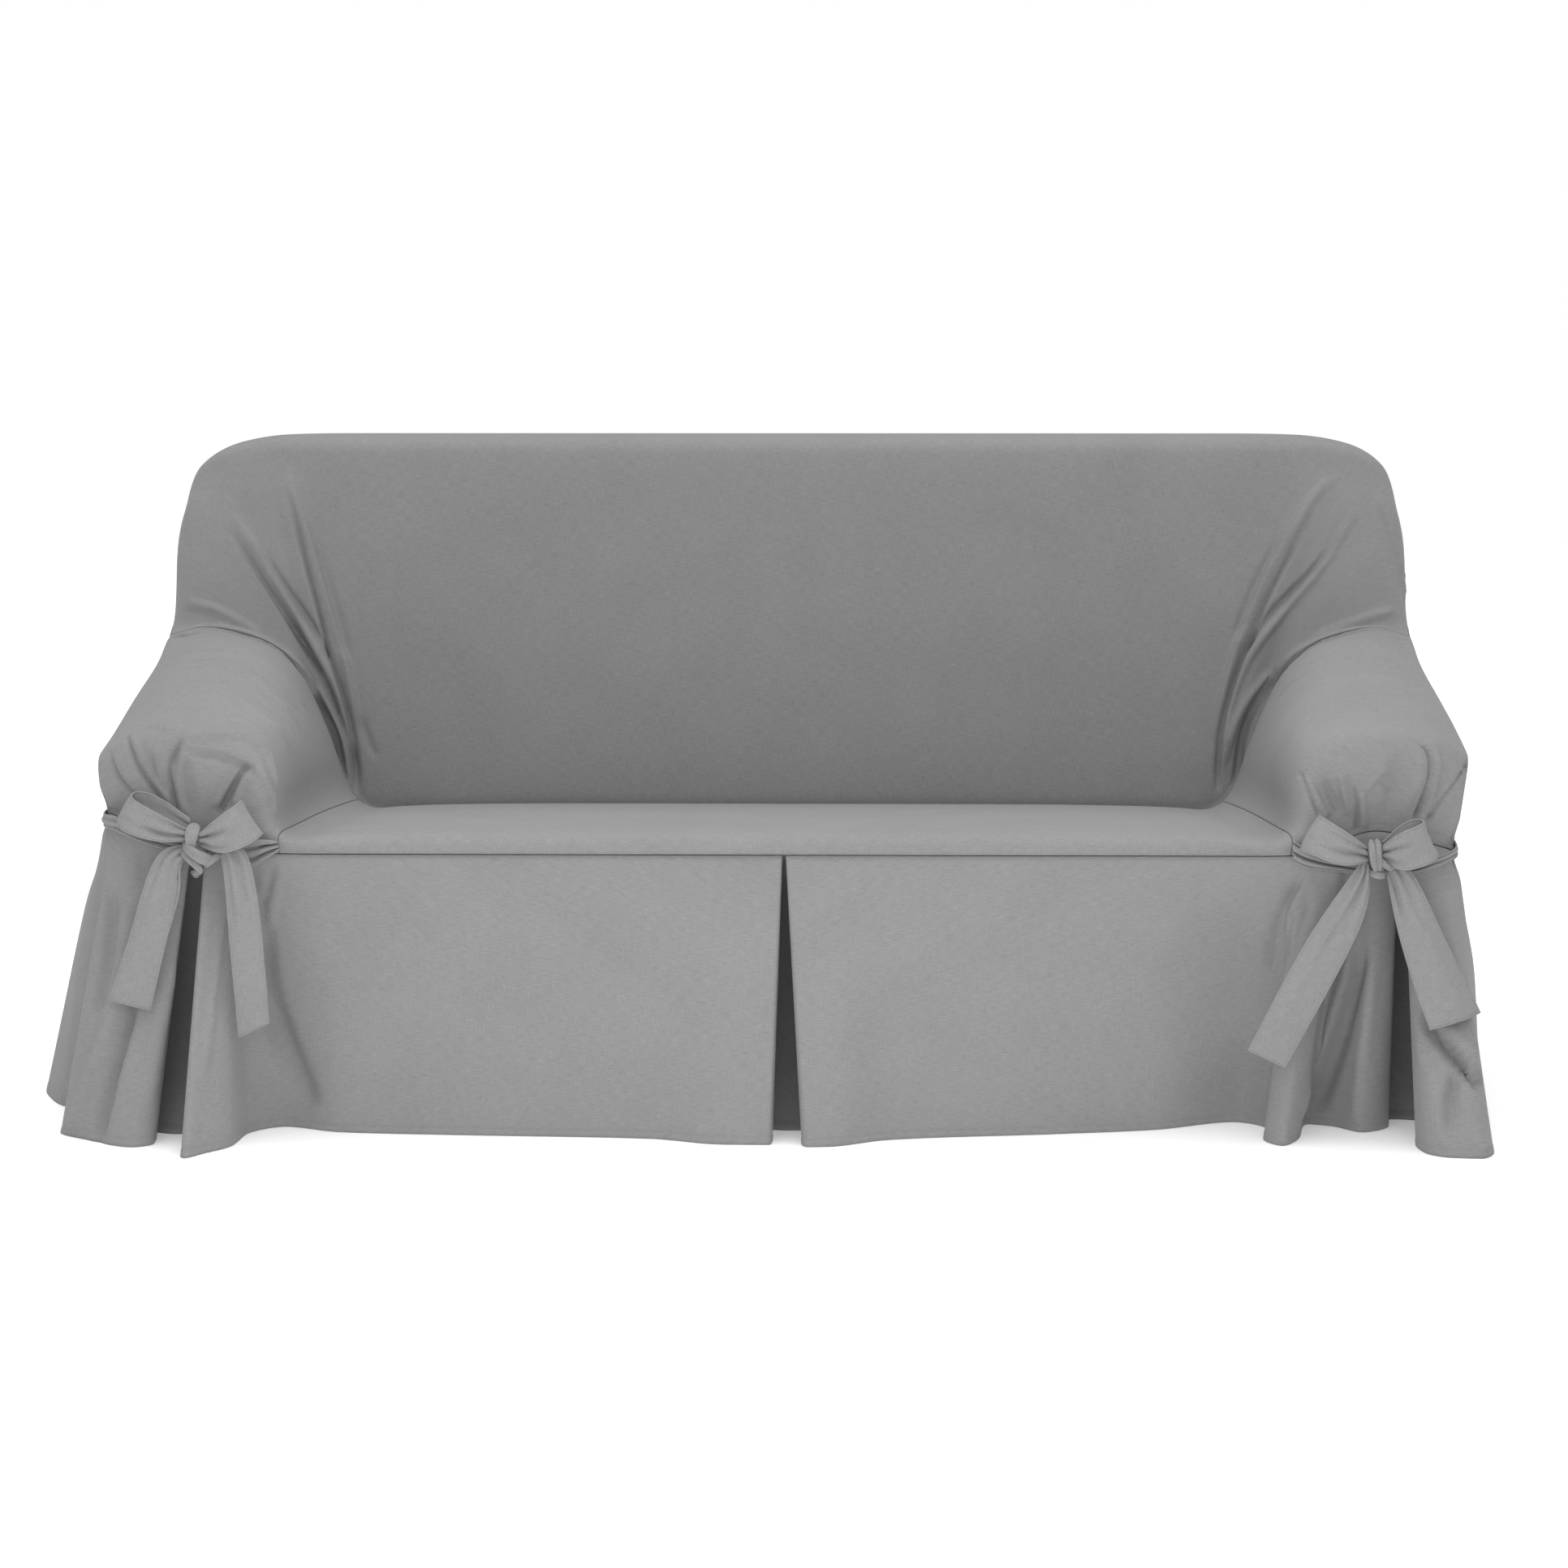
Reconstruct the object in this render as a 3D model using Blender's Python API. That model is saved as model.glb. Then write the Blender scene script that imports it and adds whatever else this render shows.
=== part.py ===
"""Ready-made cover for a two- to three-seat sofa, in the shape in which it hangs over the sofa.

The sofa itself is left out. The cover is hollow and open at the bottom. Its cloth is a sheet
2 mm thick, cut into five panels: seat with inside back, outside back, one cover over each arm
and a front skirt with three inverted pleats. A bow of two sewn ties gathers each arm front.

Places are given as x (right), depth (back from the plane of the seat front) and height, in metres.
The last step moves them so that the origin is on the floor under the middle of the cover.
"""
import bpy
import numpy as np

# ---------------------------------------------------------------- driving sizes
CLOTH = 0.002            # thickness of the cloth
SEAM_GAP = 0.0009        # distance between two sewn panels
WAIST_GAP = 0.0015       # the skirt starts this far under the seat and the arm fronts
PLEAT_LAYER = 0.0045     # distance between the layers of a closed pleat
FLANK = 0.110            # the seat and the back stay flat up to this far from an arm
RIGHT_TUCK = 0.006       # the right arm's outer side is this much slimmer than the left one's
REAR_FLARE = 0.030       # the outside back hangs this much further out at the hem
ORIGIN_X = -0.0445       # the middle of the cover, in the places below
ORIGIN_DEPTH = 0.368

PANELS = ("seat_and_inside_back", "outside_back", "arm_cover_left", "arm_cover_right", "front_skirt")
CLOTH_COLOUR = (0.300, 0.300, 0.302, 1.0)
CLOTH_ROUGHNESS = 0.92

# The sofa shape under the cloth, in sections that run from the front seam over the seat, up the
# inside back and over the top to the outside back. Places are those of the right half.
# First the middle (depth, height), then (x, depth, height) of the line where seat or back meets
# the arm or its fold ("crease") and of the arm's inner wall.
SEAT_AND_BACK = (
    # section      middle          crease                  wall
    ("waist",     (0.000, 0.392), (0.706, 0.000, 0.392), (0.745, -0.004, 0.396)),
    ("face",      (-0.007, 0.404), (0.710, -0.007, 0.402), (0.732, -0.012, 0.465)),
    ("brow",      (0.008, 0.418), (0.710, 0.004, 0.404), (0.710, -0.002, 0.530)),
    ("shelf",     (0.050, 0.419), (0.706, 0.045, 0.402), (0.692, 0.045, 0.535)),
    ("mid",       (0.260, 0.412), (0.688, 0.260, 0.396), (0.692, 0.270, 0.530)),
    ("rear",      (0.480, 0.398), (0.660, 0.470, 0.386), (0.690, 0.470, 0.520)),
    ("lip",       (0.530, 0.394), (0.656, 0.525, 0.382), (0.690, 0.525, 0.508)),
    ("crease",    (0.552, 0.382), (0.652, 0.545, 0.374), (0.692, 0.548, 0.502)),
    ("foot",      (0.548, 0.410), (0.656, 0.547, 0.415), (0.700, 0.556, 0.535)),
    ("low",       (0.575, 0.575), (0.672, 0.572, 0.590), (0.738, 0.580, 0.680)),
    ("high",      (0.612, 0.762), (0.704, 0.606, 0.767), (0.785, 0.612, 0.815)),
    ("shoulder",  (0.640, 0.903), (0.735, 0.638, 0.900), (0.815, 0.645, 0.905)),
    ("top front", (0.662, 0.953), (0.745, 0.660, 0.953), (0.828, 0.665, 0.950)),
    ("top rear",  (0.800, 0.953), (0.745, 0.800, 0.953), (0.828, 0.798, 0.950)),
    ("nape",      (0.856, 0.918), (0.745, 0.856, 0.918), (0.826, 0.854, 0.910)),
    ("yoke",      (0.866, 0.655), (0.745, 0.866, 0.655), (0.830, 0.866, 0.655)),
)
# Then (x, depth, height) on the arm's inner top, its outer top and its outer edge.
ARMS = (
    # section      inner top               outer top               edge
    ("waist",     (0.805, -0.006, 0.404), (0.882, -0.004, 0.425), (0.940, 0.014, 0.447)),
    ("face",      (0.808, -0.016, 0.478), (0.886, -0.012, 0.490), (0.947, 0.014, 0.487)),
    ("brow",      (0.795, -0.010, 0.560), (0.888, -0.008, 0.556), (0.948, 0.014, 0.522)),
    ("shelf",     (0.772, 0.042, 0.576), (0.889, 0.042, 0.574), (0.949, 0.048, 0.532)),
    ("mid",       (0.772, 0.270, 0.606), (0.891, 0.270, 0.616), (0.955, 0.270, 0.572)),
    ("rear",      (0.768, 0.470, 0.630), (0.888, 0.470, 0.652), (0.956, 0.470, 0.610)),
    ("lip",       (0.766, 0.530, 0.628), (0.888, 0.535, 0.660), (0.956, 0.535, 0.638)),
    ("crease",    (0.766, 0.555, 0.618), (0.888, 0.560, 0.660), (0.956, 0.568, 0.648)),
    ("foot",      (0.776, 0.562, 0.645), (0.896, 0.570, 0.682), (0.958, 0.590, 0.655)),
    ("low",       (0.830, 0.585, 0.750), (0.938, 0.600, 0.765), (0.964, 0.625, 0.655)),
    ("high",      (0.872, 0.620, 0.842), (0.960, 0.645, 0.838), (0.965, 0.665, 0.655)),
    ("shoulder",  (0.890, 0.655, 0.896), (0.956, 0.690, 0.866), (0.966, 0.700, 0.655)),
    ("top front", (0.904, 0.685, 0.930), (0.956, 0.720, 0.880), (0.966, 0.725, 0.655)),
    ("top rear",  (0.904, 0.790, 0.930), (0.956, 0.765, 0.880), (0.966, 0.765, 0.655)),
    ("nape",      (0.896, 0.846, 0.885), (0.950, 0.828, 0.850), (0.966, 0.812, 0.655)),
    ("yoke",      (0.900, 0.864, 0.655), (0.945, 0.860, 0.655), (0.966, 0.850, 0.655)),
)
# On the right arm the waist seam rises over the knot and then drops: (x, depth, height) on the inner
# wall, the inner top, the outer top and the outer edge.
RIGHT_WAIST = (
    (0.745, -0.004, 0.398),
    (0.800, -0.006, 0.434),
    (0.870, -0.004, 0.416),
    (0.921, 0.002, 0.400),
)
# The right arm's outer edge at the next sections back, where the tie draws it in.
RIGHT_EDGE = (
    (0.936, 0.018, 0.487),
    (0.941, 0.024, 0.522),
    (0.944, 0.056, 0.532),
)
SECTION_STEPS = (2, 2, 2, 3, 3, 1, 1, 2, 3, 3, 2, 2, 2, 2, 3)   # faces from each section to the next
COLUMN_STEPS = (3, 3, 4, 4, 3, 5)        # faces from edge to middle, one half
SPANS_TO_CREASE_LINE = 4                 # spans from the outer edge to the line beside the arm
SPANS_TO_BACK = 7                        # sections from the front seam to the foot of the back
SPANS_TO_TOP = 13                        # sections from the front seam to the rear of the top
HANG_LEVELS = (0.0, 0.08, 0.22, 0.42, 0.70, 1.0)   # rows of the hanging cloth, as shares

# Where the side cloth under each section reaches the floor, and how far the tie draws it in above
# that: (x, depth, draw) at the left and the right.
SIDE_HEMS = (
    ("waist",     (0.965, 0.085, 0.000), (0.971, -0.030, 0.000)),
    ("face",      (0.998, 0.115, 0.007), (0.972, 0.036, 0.014)),
    ("brow",      (1.028, 0.140, 0.011), (0.982, 0.084, 0.020)),
    ("shelf",     (1.056, 0.165, 0.010), (0.991, 0.130, 0.021)),
    ("mid",       (1.105, 0.280, 0.004), (1.006, 0.280, 0.010)),
    ("rear",      (1.083, 0.450, 0.000), (1.008, 0.460, 0.003)),
    ("lip",       (1.068, 0.520, 0.000), (1.006, 0.530, 0.000)),
    ("crease",    (1.061, 0.565, 0.000), (1.004, 0.570, 0.000)),
    ("foot",      (1.056, 0.605, 0.000), (1.003, 0.610, 0.000)),
    ("low",       (1.052, 0.645, 0.000), (1.003, 0.650, 0.000)),
    ("high",      (1.048, 0.685, 0.000), (1.002, 0.690, 0.000)),
    ("shoulder",  (1.044, 0.722, 0.000), (1.002, 0.727, 0.000)),
    ("top front", (1.040, 0.755, 0.000), (1.001, 0.760, 0.000)),
    ("top rear",  (1.034, 0.792, 0.000), (1.001, 0.797, 0.000)),
    ("nape",      (1.026, 0.835, 0.000), (1.000, 0.840, 0.000)),
    ("yoke",      (1.015, 0.885, 0.000), (0.999, 0.885, 0.000)),
)
TIE_HEIGHT = 0.400       # the tie draws the side cloth in most at this height
TIE_REACH = 0.110        # its pull dies away over about this much cloth above and below

# The front skirt, one row for each fold from left to right: its x at the waist seam, the layer
# of the pleat it lies in there (0 is the front) and its place on the floor.
SKIRT_FOLDS = (
    # name                   waist x  layer  hem x  hem depth
    ("left side seam",        -0.940, 0.0, -0.965,  0.085),
    ("left corner hollow",    -0.934, 0.0, -0.975,  0.045),
    ("left corner fold",      -0.924, 0.0, -1.008, -0.010),
    ("left corner front",     -0.905, 0.0, -0.962, -0.055),
    ("left bow crown",        -0.860, 0.0, -0.890, -0.098),
    ("left pleat edge",       -0.820, 0.0, -0.866, -0.080),
    ("left pleat turn",       -0.818, 0.5, -0.868, -0.050),
    ("left pleat return",     -0.822, 1.0, -0.880, -0.034),
    ("left pleat back edge",  -0.856, 1.0, -0.903, -0.014),
    ("left pleat back",       -0.856, 2.0, -0.897, -0.001),
    ("left pleat inside",     -0.810, 2.0, -0.845, -0.020),
    ("left pleat far back",   -0.768, 2.0, -0.801, -0.004),
    ("left pleat far edge",   -0.768, 1.0, -0.787, -0.014),
    ("left pleat far return", -0.794, 1.0, -0.796, -0.060),
    ("left cone turn",        -0.798, 0.5, -0.814, -0.142),
    ("left cone edge",        -0.795, 0.0, -0.807, -0.160),
    ("left cone front",       -0.784, 0.0, -0.787, -0.134),
    ("left cone side",        -0.764, 0.0, -0.756, -0.088),
    ("left cone hollow",      -0.746, 0.0, -0.748, -0.018),
    ("left flat start",       -0.710, 0.0, -0.700,  0.028),
    ("left flat",             -0.618, 0.0, -0.618, -0.004),
    ("left field",            -0.458, 0.0, -0.458, -0.018),
    ("left middle",           -0.186, 0.0, -0.186, -0.036),
    ("left pleat swell",      -0.080, 0.0, -0.081, -0.069),
    ("middle pleat edge",     -0.006, 0.0, -0.020, -0.070),
    ("middle pleat turn",     -0.003, 0.5, -0.016, -0.046),
    ("middle pleat return",   -0.008, 1.0, -0.028, -0.022),
    ("middle pleat side",     -0.056, 1.0, -0.066,  0.016),
    ("middle pleat back",     -0.056, 2.0, -0.062,  0.034),
    ("middle pleat inside",    0.000, 2.0,  0.004,  0.016),
    ("middle pleat far back",  0.056, 2.0,  0.068,  0.022),
    ("middle pleat far side",  0.056, 1.0,  0.072,  0.004),
    ("middle far return",      0.008, 1.0,  0.038, -0.040),
    ("middle far turn",        0.003, 0.5,  0.026, -0.062),
    ("middle far edge",        0.006, 0.0,  0.032, -0.082),
    ("right pleat swell",      0.056, 0.0,  0.060, -0.080),
    ("right middle",           0.144, 0.0,  0.144, -0.038),
    ("right field",            0.377, 0.0,  0.377,  0.001),
    ("right flat",             0.515, 0.0,  0.515,  0.028),
    ("right flat end",         0.635, 0.0,  0.635,  0.078),
    ("right cone hollow",      0.678, 0.0,  0.676,  0.040),
    ("right cone edge",        0.690, 0.0,  0.664, -0.030),
    ("right cone front",       0.704, 0.0,  0.682, -0.066),
    ("right cone side",        0.724, 0.0,  0.704, -0.034),
    ("right hollow",           0.756, 0.0,  0.736,  0.066),
    ("right bow hollow",       0.782, 0.0,  0.769,  0.052),
    ("right bow crown",        0.806, 0.0,  0.803,  0.018),
    ("right pleat edge",       0.834, 0.0,  0.846,  0.050),
    ("right pleat turn",       0.836, 0.5,  0.849,  0.064),
    ("right pleat return",     0.832, 1.0,  0.842,  0.076),
    ("right pleat back edge",  0.800, 1.0,  0.818,  0.086),
    ("right pleat back",       0.800, 2.0,  0.824,  0.098),
    ("right pleat inside",     0.846, 2.0,  0.866,  0.098),
    ("right pleat far back",   0.888, 2.0,  0.904,  0.086),
    ("right pleat far edge",   0.888, 1.0,  0.910,  0.070),
    ("right far return",       0.860, 1.0,  0.886,  0.000),
    ("right far turn",         0.850, 0.5,  0.868, -0.064),
    ("right corner edge",      0.854, 0.0,  0.874, -0.104),
    ("right corner front",     0.880, 0.0,  0.900, -0.128),
    ("right corner fold",      0.899, 0.0,  0.943, -0.133),
    ("right corner side",      0.913, 0.0,  0.966, -0.096),
    ("right side seam",        0.923, 0.0,  0.971, -0.030),
)
SKIRT_STEP = 0.034       # the widest face along the skirt's hem

# Long soft folds pressed into the sheet: (x, depth, height) where each starts, bends and ends, its
# half width and how high it stands (a hollow is below zero).
FOLDS = (
    # name, start, bend, end, width, height
    ("left ridge", (-0.795, 0.64, 0.92), (-0.735, 0.6, 0.72), (-0.68, 0.555, 0.43), 0.034, 0.011),
    ("left hollow", (-0.85, 0.64, 0.86), (-0.77, 0.6, 0.65), (-0.69, 0.555, 0.43), 0.034, -0.014),
    ("left swell", (-0.9, 0.64, 0.8), (-0.82, 0.6, 0.66), (-0.705, 0.555, 0.47), 0.036, 0.01),
    ("right ridge", (0.835, 0.64, 0.9), (0.735, 0.6, 0.74), (0.668, 0.555, 0.44), 0.034, 0.011),
    ("right hollow", (0.868, 0.64, 0.83), (0.765, 0.6, 0.66), (0.68, 0.555, 0.43), 0.034, -0.014),
    ("right swell", (0.92, 0.64, 0.79), (0.83, 0.6, 0.67), (0.7, 0.555, 0.47), 0.036, 0.01),
    ("left pull 1", (-0.9, -0.012, 0.56), (-0.875, -0.012, 0.5), (-0.82, -0.012, 0.44), 0.026, -0.01),
    ("left pull 2", (-0.842, -0.012, 0.565), (-0.838, -0.012, 0.51), (-0.812, -0.012, 0.44), 0.026, -0.009),
    ("left pull 3", (-0.73, -0.012, 0.525), (-0.757, -0.012, 0.485), (-0.79, -0.012, 0.435), 0.026, -0.01),
    ("right pull 1", (0.93, -0.012, 0.53), (0.9, -0.012, 0.48), (0.84, -0.012, 0.425), 0.026, -0.01),
    ("right pull 2", (0.85, -0.012, 0.555), (0.842, -0.012, 0.5), (0.825, -0.012, 0.435), 0.026, -0.009),
    ("right pull 3", (0.722, -0.012, 0.52), (0.745, -0.012, 0.48), (0.785, -0.012, 0.43), 0.026, -0.01),
    ("left groove", (-0.98, 0.3, 0.452), (-0.962, 0.0, 0.454), (-0.895, -0.016, 0.432), 0.048, -0.013),
    ("right groove", (0.968, 0.3, 0.402), (0.954, 0.0, 0.402), (0.924, -0.016, 0.397), 0.048, -0.012),
    ("left waist", (-0.985, 0.5, 0.44), (-0.975, 0.2, 0.44), (-0.955, 0.015, 0.44), 0.16, -0.014),
    ("right waist", (0.975, 0.5, 0.375), (0.965, 0.2, 0.38), (0.95, 0.015, 0.388), 0.18, -0.018),
)


# ---------------------------------------------------------------- curves
def spline_weights(places, count):
    """Weights of a quadratic B-spline that starts and ends on its first and last of count points."""
    places = np.asarray(places, float)
    nearest = np.clip(np.round(places).astype(int), 0, count - 1)
    share = places - nearest
    weights = np.zeros((len(places), count + 2))
    rows = np.arange(len(places))
    weights[rows, nearest] += 0.5 * (0.5 - share) ** 2
    weights[rows, nearest + 1] += 0.75 - share ** 2
    weights[rows, nearest + 2] += 0.5 * (0.5 + share) ** 2
    inner = weights[:, 1:-1].copy()
    for ghost, first, second in ((weights[:, 0], 0, 1), (weights[:, -1], -1, -2)):
        inner[:, first] += 2.0 * ghost
        inner[:, second] -= ghost
    return inner


def stepped(steps):
    """Places from 0 to the number of spans, each span cut into its own number of steps."""
    places = [span + part / step for span, step in enumerate(steps) for part in range(step)]
    return np.array(places + [float(len(steps))])


def eased(knots, values, places):
    """A smooth curve through values that never swings past them."""
    knots = np.asarray(knots, float)
    values = np.asarray(values, float)
    width = np.diff(knots)[:, None]
    rise = np.diff(values, axis=0) / width
    slope = np.zeros_like(values)
    agree = rise[:-1] * rise[1:] > 0
    before = 2 * width[1:] + width[:-1]
    after = width[1:] + 2 * width[:-1]
    with np.errstate(divide="ignore", invalid="ignore"):
        mean = (before + after) / (before / rise[:-1] + after / rise[1:])
    slope[1:-1] = np.where(agree, mean, 0.0)
    slope[0] = rise[0]
    slope[-1] = rise[-1]
    span = np.clip(np.searchsorted(knots, places, side="right") - 1, 0, len(knots) - 2)
    t = ((places - knots[span]) / width[span, 0])[:, None]
    size = width[span]
    return ((2 * t ** 3 - 3 * t ** 2 + 1) * values[span] + (t ** 3 - 2 * t ** 2 + t) * size * slope[span]
            + (3 * t ** 2 - 2 * t ** 3) * values[span + 1] + (t ** 3 - t ** 2) * size * slope[span + 1])


# ---------------------------------------------------------------- the draped sheet
def section_net():
    """Control points of the sheet over seat, arms and back: sections by columns."""
    net = []
    for (_, middle, crease, wall), (_, inner_top, outer_top, edge) in zip(SEAT_AND_BACK, ARMS):
        right = [(0.0, *middle), (crease[0] - FLANK, *middle), crease, wall, inner_top, outer_top, edge]
        left = [(-x, depth, height) for x, depth, height in right[:0:-1]]
        net.append(left + right)
    net = np.array(net)
    net[:, -2:, 0] -= RIGHT_TUCK
    net[0, -len(RIGHT_WAIST):] = RIGHT_WAIST
    net[1:1 + len(RIGHT_EDGE), -1] = RIGHT_EDGE
    return net


def drape(section_places, column_places):
    """The sheet's points over seat, arms and back, one row for each section place."""
    net = section_net()
    across = spline_weights(column_places, net.shape[1])
    along = spline_weights(section_places, net.shape[0])
    return np.einsum("ij,jkc,lk->ilc", along, net, across)


def hang(top, hem):
    """Cloth that hangs from the points in top down to the floor points in hem."""
    levels = np.array(HANG_LEVELS)[:, None, None]
    floor = np.concatenate([hem, np.zeros((len(hem), 1))], axis=1)
    return top[None] * (1 - levels) + floor[None] * levels


def side_hem(section_places, side):
    """Floor point and draw of the side cloth, side 1 for the left and 2 for the right."""
    sign = -1.0 if side == 1 else 1.0
    points = np.array([(sign * row[side][0], row[side][1], sign * row[side][2]) for row in SIDE_HEMS])
    return spline_weights(section_places, len(points)) @ points


def side_cloth(top, hem):
    """The side cloth, straight from its edge to the floor apart from where the tie draws it in."""
    cloth = hang(top, hem[:, :2])
    pull = np.exp(-((cloth[..., 2] - TIE_HEIGHT) / TIE_REACH) ** 2)
    cloth[1:-1, :, 0] -= pull[1:-1] * hem[:, 2]
    return cloth


def rear_hem(top, left, right):
    """Floor points of the outside back between its two corners."""
    share = (top[:, 0] - top[0, 0]) / (top[-1, 0] - top[0, 0])
    hem = top[:, :2].copy()
    hem[:, 0] = left[0] + (right[0] - left[0]) * share
    hem[:, 1] = top[:, 1] + REAR_FLARE
    hem[0] = left
    hem[-1] = right
    return hem


def skirt(waist):
    """The pleated front, from the floor up to just under the seam line in waist."""
    folds = np.array([row[1:] for row in SKIRT_FOLDS])
    hem = folds[:, 2:]
    length = np.linalg.norm(np.diff(hem, axis=0), axis=1)
    knots = np.concatenate([[0.0], np.cumsum(length)])
    steps = [max(1, round(part / SKIRT_STEP)) for part in length]
    places = np.interp(stepped(steps), np.arange(len(knots)), knots)
    fine = eased(knots, folds, places)
    top = np.stack([fine[:, 0],
                    np.interp(fine[:, 0], waist[:, 0], waist[:, 1]) + PLEAT_LAYER * fine[:, 1],
                    np.interp(fine[:, 0], waist[:, 0], waist[:, 2])], axis=1)
    return hang(top, fine[:, 2:])[::-1]


def press_folds(points):
    """How far each point stands out of the smooth sheet because of the long folds."""
    height = np.zeros(len(points))
    share = np.linspace(0.0, 1.0, 17)[:, None]
    for _, start, bend, end, width, rise in FOLDS:
        line = ((1 - share) ** 2 * np.array(start) + 2 * share * (1 - share) * np.array(bend)
                + share ** 2 * np.array(end))
        away = np.linalg.norm(points[:, None] - line[None], axis=2)
        nearest = away.argmin(axis=1)
        fade = np.sin(np.pi * share[nearest, 0])
        near = np.clip(away.min(axis=1) / width, 0.0, 1.0)
        height += rise * fade * np.cos(0.5 * np.pi * near) ** 2
    return height


# ---------------------------------------------------------------- panels
class Sheet:
    """Faces of the whole cover, each with the name of the panel that it is cut from."""

    def __init__(self):
        self.points = []
        self.index = {}
        self.level = set()
        self.faces = []
        self.panels = []

    def corner(self, point):
        key = tuple(np.round(point, 6))
        if key not in self.index:
            self.index[key] = len(self.points)
            self.points.append(np.array(point, float))
        return self.index[key]

    def add_grid(self, grid, panel_of):
        corners = [[self.corner(point) for point in row] for row in grid]
        for i in range(len(corners) - 1):
            for j in range(len(corners[0]) - 1):
                here = corners[i]
                below = corners[i + 1]
                self.faces.append((here[j], here[j + 1], below[j + 1], below[j]))
                self.panels.append(panel_of(i, j))

    def keep_level(self, row):
        """The cut edge along this row stays level, so that it faces straight up or down."""
        self.level.update(self.corner(point) for point in row)

    def normals(self):
        points = np.array(self.points)
        faces = np.array(self.faces)
        down = points[faces[:, 2]] - points[faces[:, 0]]
        over = points[faces[:, 3]] - points[faces[:, 1]]
        cross = np.cross(down, over)
        total = np.zeros_like(points)
        for corner in range(4):
            np.add.at(total, faces[:, corner], cross)
        total[list(self.level), 2] = 0.0
        return total / np.linalg.norm(total, axis=1)[:, None]

    def lift(self, height_of):
        points = np.array(self.points)
        self.points = list(points + self.normals() * height_of(points)[:, None])


def whole_sheet():
    """The cover's middle surface as one sheet, with every face given to a panel."""
    sheet = Sheet()
    rows = stepped(SECTION_STEPS)
    columns = stepped(COLUMN_STEPS + COLUMN_STEPS[::-1])
    crease_row = sum(SECTION_STEPS[:SPANS_TO_BACK])
    top_row = sum(SECTION_STEPS[:SPANS_TO_TOP])
    seat_left = sum(COLUMN_STEPS[:SPANS_TO_CREASE_LINE])
    seat_right = len(columns) - 1 - seat_left
    grid = drape(rows, columns)

    def upper_panel(i, j):
        if i >= top_row:
            return "outside_back"
        if i >= crease_row or seat_left <= j < seat_right:
            return "seat_and_inside_back"
        return "arm_cover_left" if j < seat_left else "arm_cover_right"

    sheet.add_grid(grid, upper_panel)
    sheet.keep_level(grid[0])
    left_hem = side_hem(rows, 1)
    right_hem = side_hem(rows, 2)
    left_side = side_cloth(grid[:, 0], left_hem)
    right_side = side_cloth(grid[:, -1], right_hem)
    sheet.add_grid(np.swapaxes(left_side[::-1], 0, 1), lambda i, j: "arm_cover_left")
    sheet.add_grid(np.swapaxes(right_side, 0, 1), lambda i, j: "arm_cover_right")
    rear = hang(grid[-1], rear_hem(grid[-1], left_hem[-1, :2], right_hem[-1, :2]))
    sheet.add_grid(rear, lambda i, j: "outside_back")
    front = skirt(grid[0] - np.array([0.0, 0.0, WAIST_GAP]))
    front[:, 0] = left_side[::-1, 0]
    front[:, -1] = right_side[::-1, 0]
    sheet.add_grid(front, lambda i, j: "front_skirt")
    for edge in (left_side[-1], right_side[-1], rear[-1], front[0], front[-1]):
        sheet.keep_level(edge)
    sheet.lift(press_folds)
    return sheet


def halves(face, points):
    """Two triangles for a face, cut along its shorter diagonal."""
    a, b, c, d = face
    if np.linalg.norm(points[c] - points[a]) < np.linalg.norm(points[d] - points[b]):
        return (a, b, c), (a, c, d)
    return (a, b, d), (b, c, d)


def panel_shell(sheet, panel):
    """The closed solid of one panel: its faces made thick, and drawn back a little at its seams."""
    points = np.array(sheet.points)
    normals = sheet.normals()
    own = [face for face, name in zip(sheet.faces, sheet.panels) if name == panel]
    others = {corner for face, name in zip(sheet.faces, sheet.panels) if name != panel for corner in face}
    used = sorted({corner for face in own for corner in face})
    edges = {(face[k], face[(k + 1) % 4]) for face in own for k in range(4)}
    rim = [(a, b) for a, b in edges if (b, a) not in edges]
    inward = {corner: [] for corner in used}
    for a, b in rim:
        away = np.cross(normals[a] + normals[b], points[b] - points[a])
        for corner in (a, b):
            if corner in others and max(points[a][2], points[b][2]) > 0.0:
                inward[corner].append(away / np.linalg.norm(away))
    outer = []
    inner = []
    for corner in used:
        place = points[corner]
        if inward[corner]:
            pull = sum(inward[corner])
            place = place + 0.5 * SEAM_GAP * len(inward[corner]) * pull / pull.dot(pull)
            if points[corner][2] == 0.0:
                place[2] = 0.0
        outer.append(place + 0.5 * CLOTH * normals[corner])
        inner.append(place - 0.5 * CLOTH * normals[corner])
    count = len(used)
    local = {corner: place for place, corner in enumerate(used)}
    front = [[local[corner] for corner in half] for face in own for half in halves(face, points)]
    back = [[corner + count for corner in reversed(half)] for half in front]
    side = [(local[b], local[a], local[a] + count, local[b] + count) for a, b in rim]
    return outer + inner, front + back + side


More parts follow.
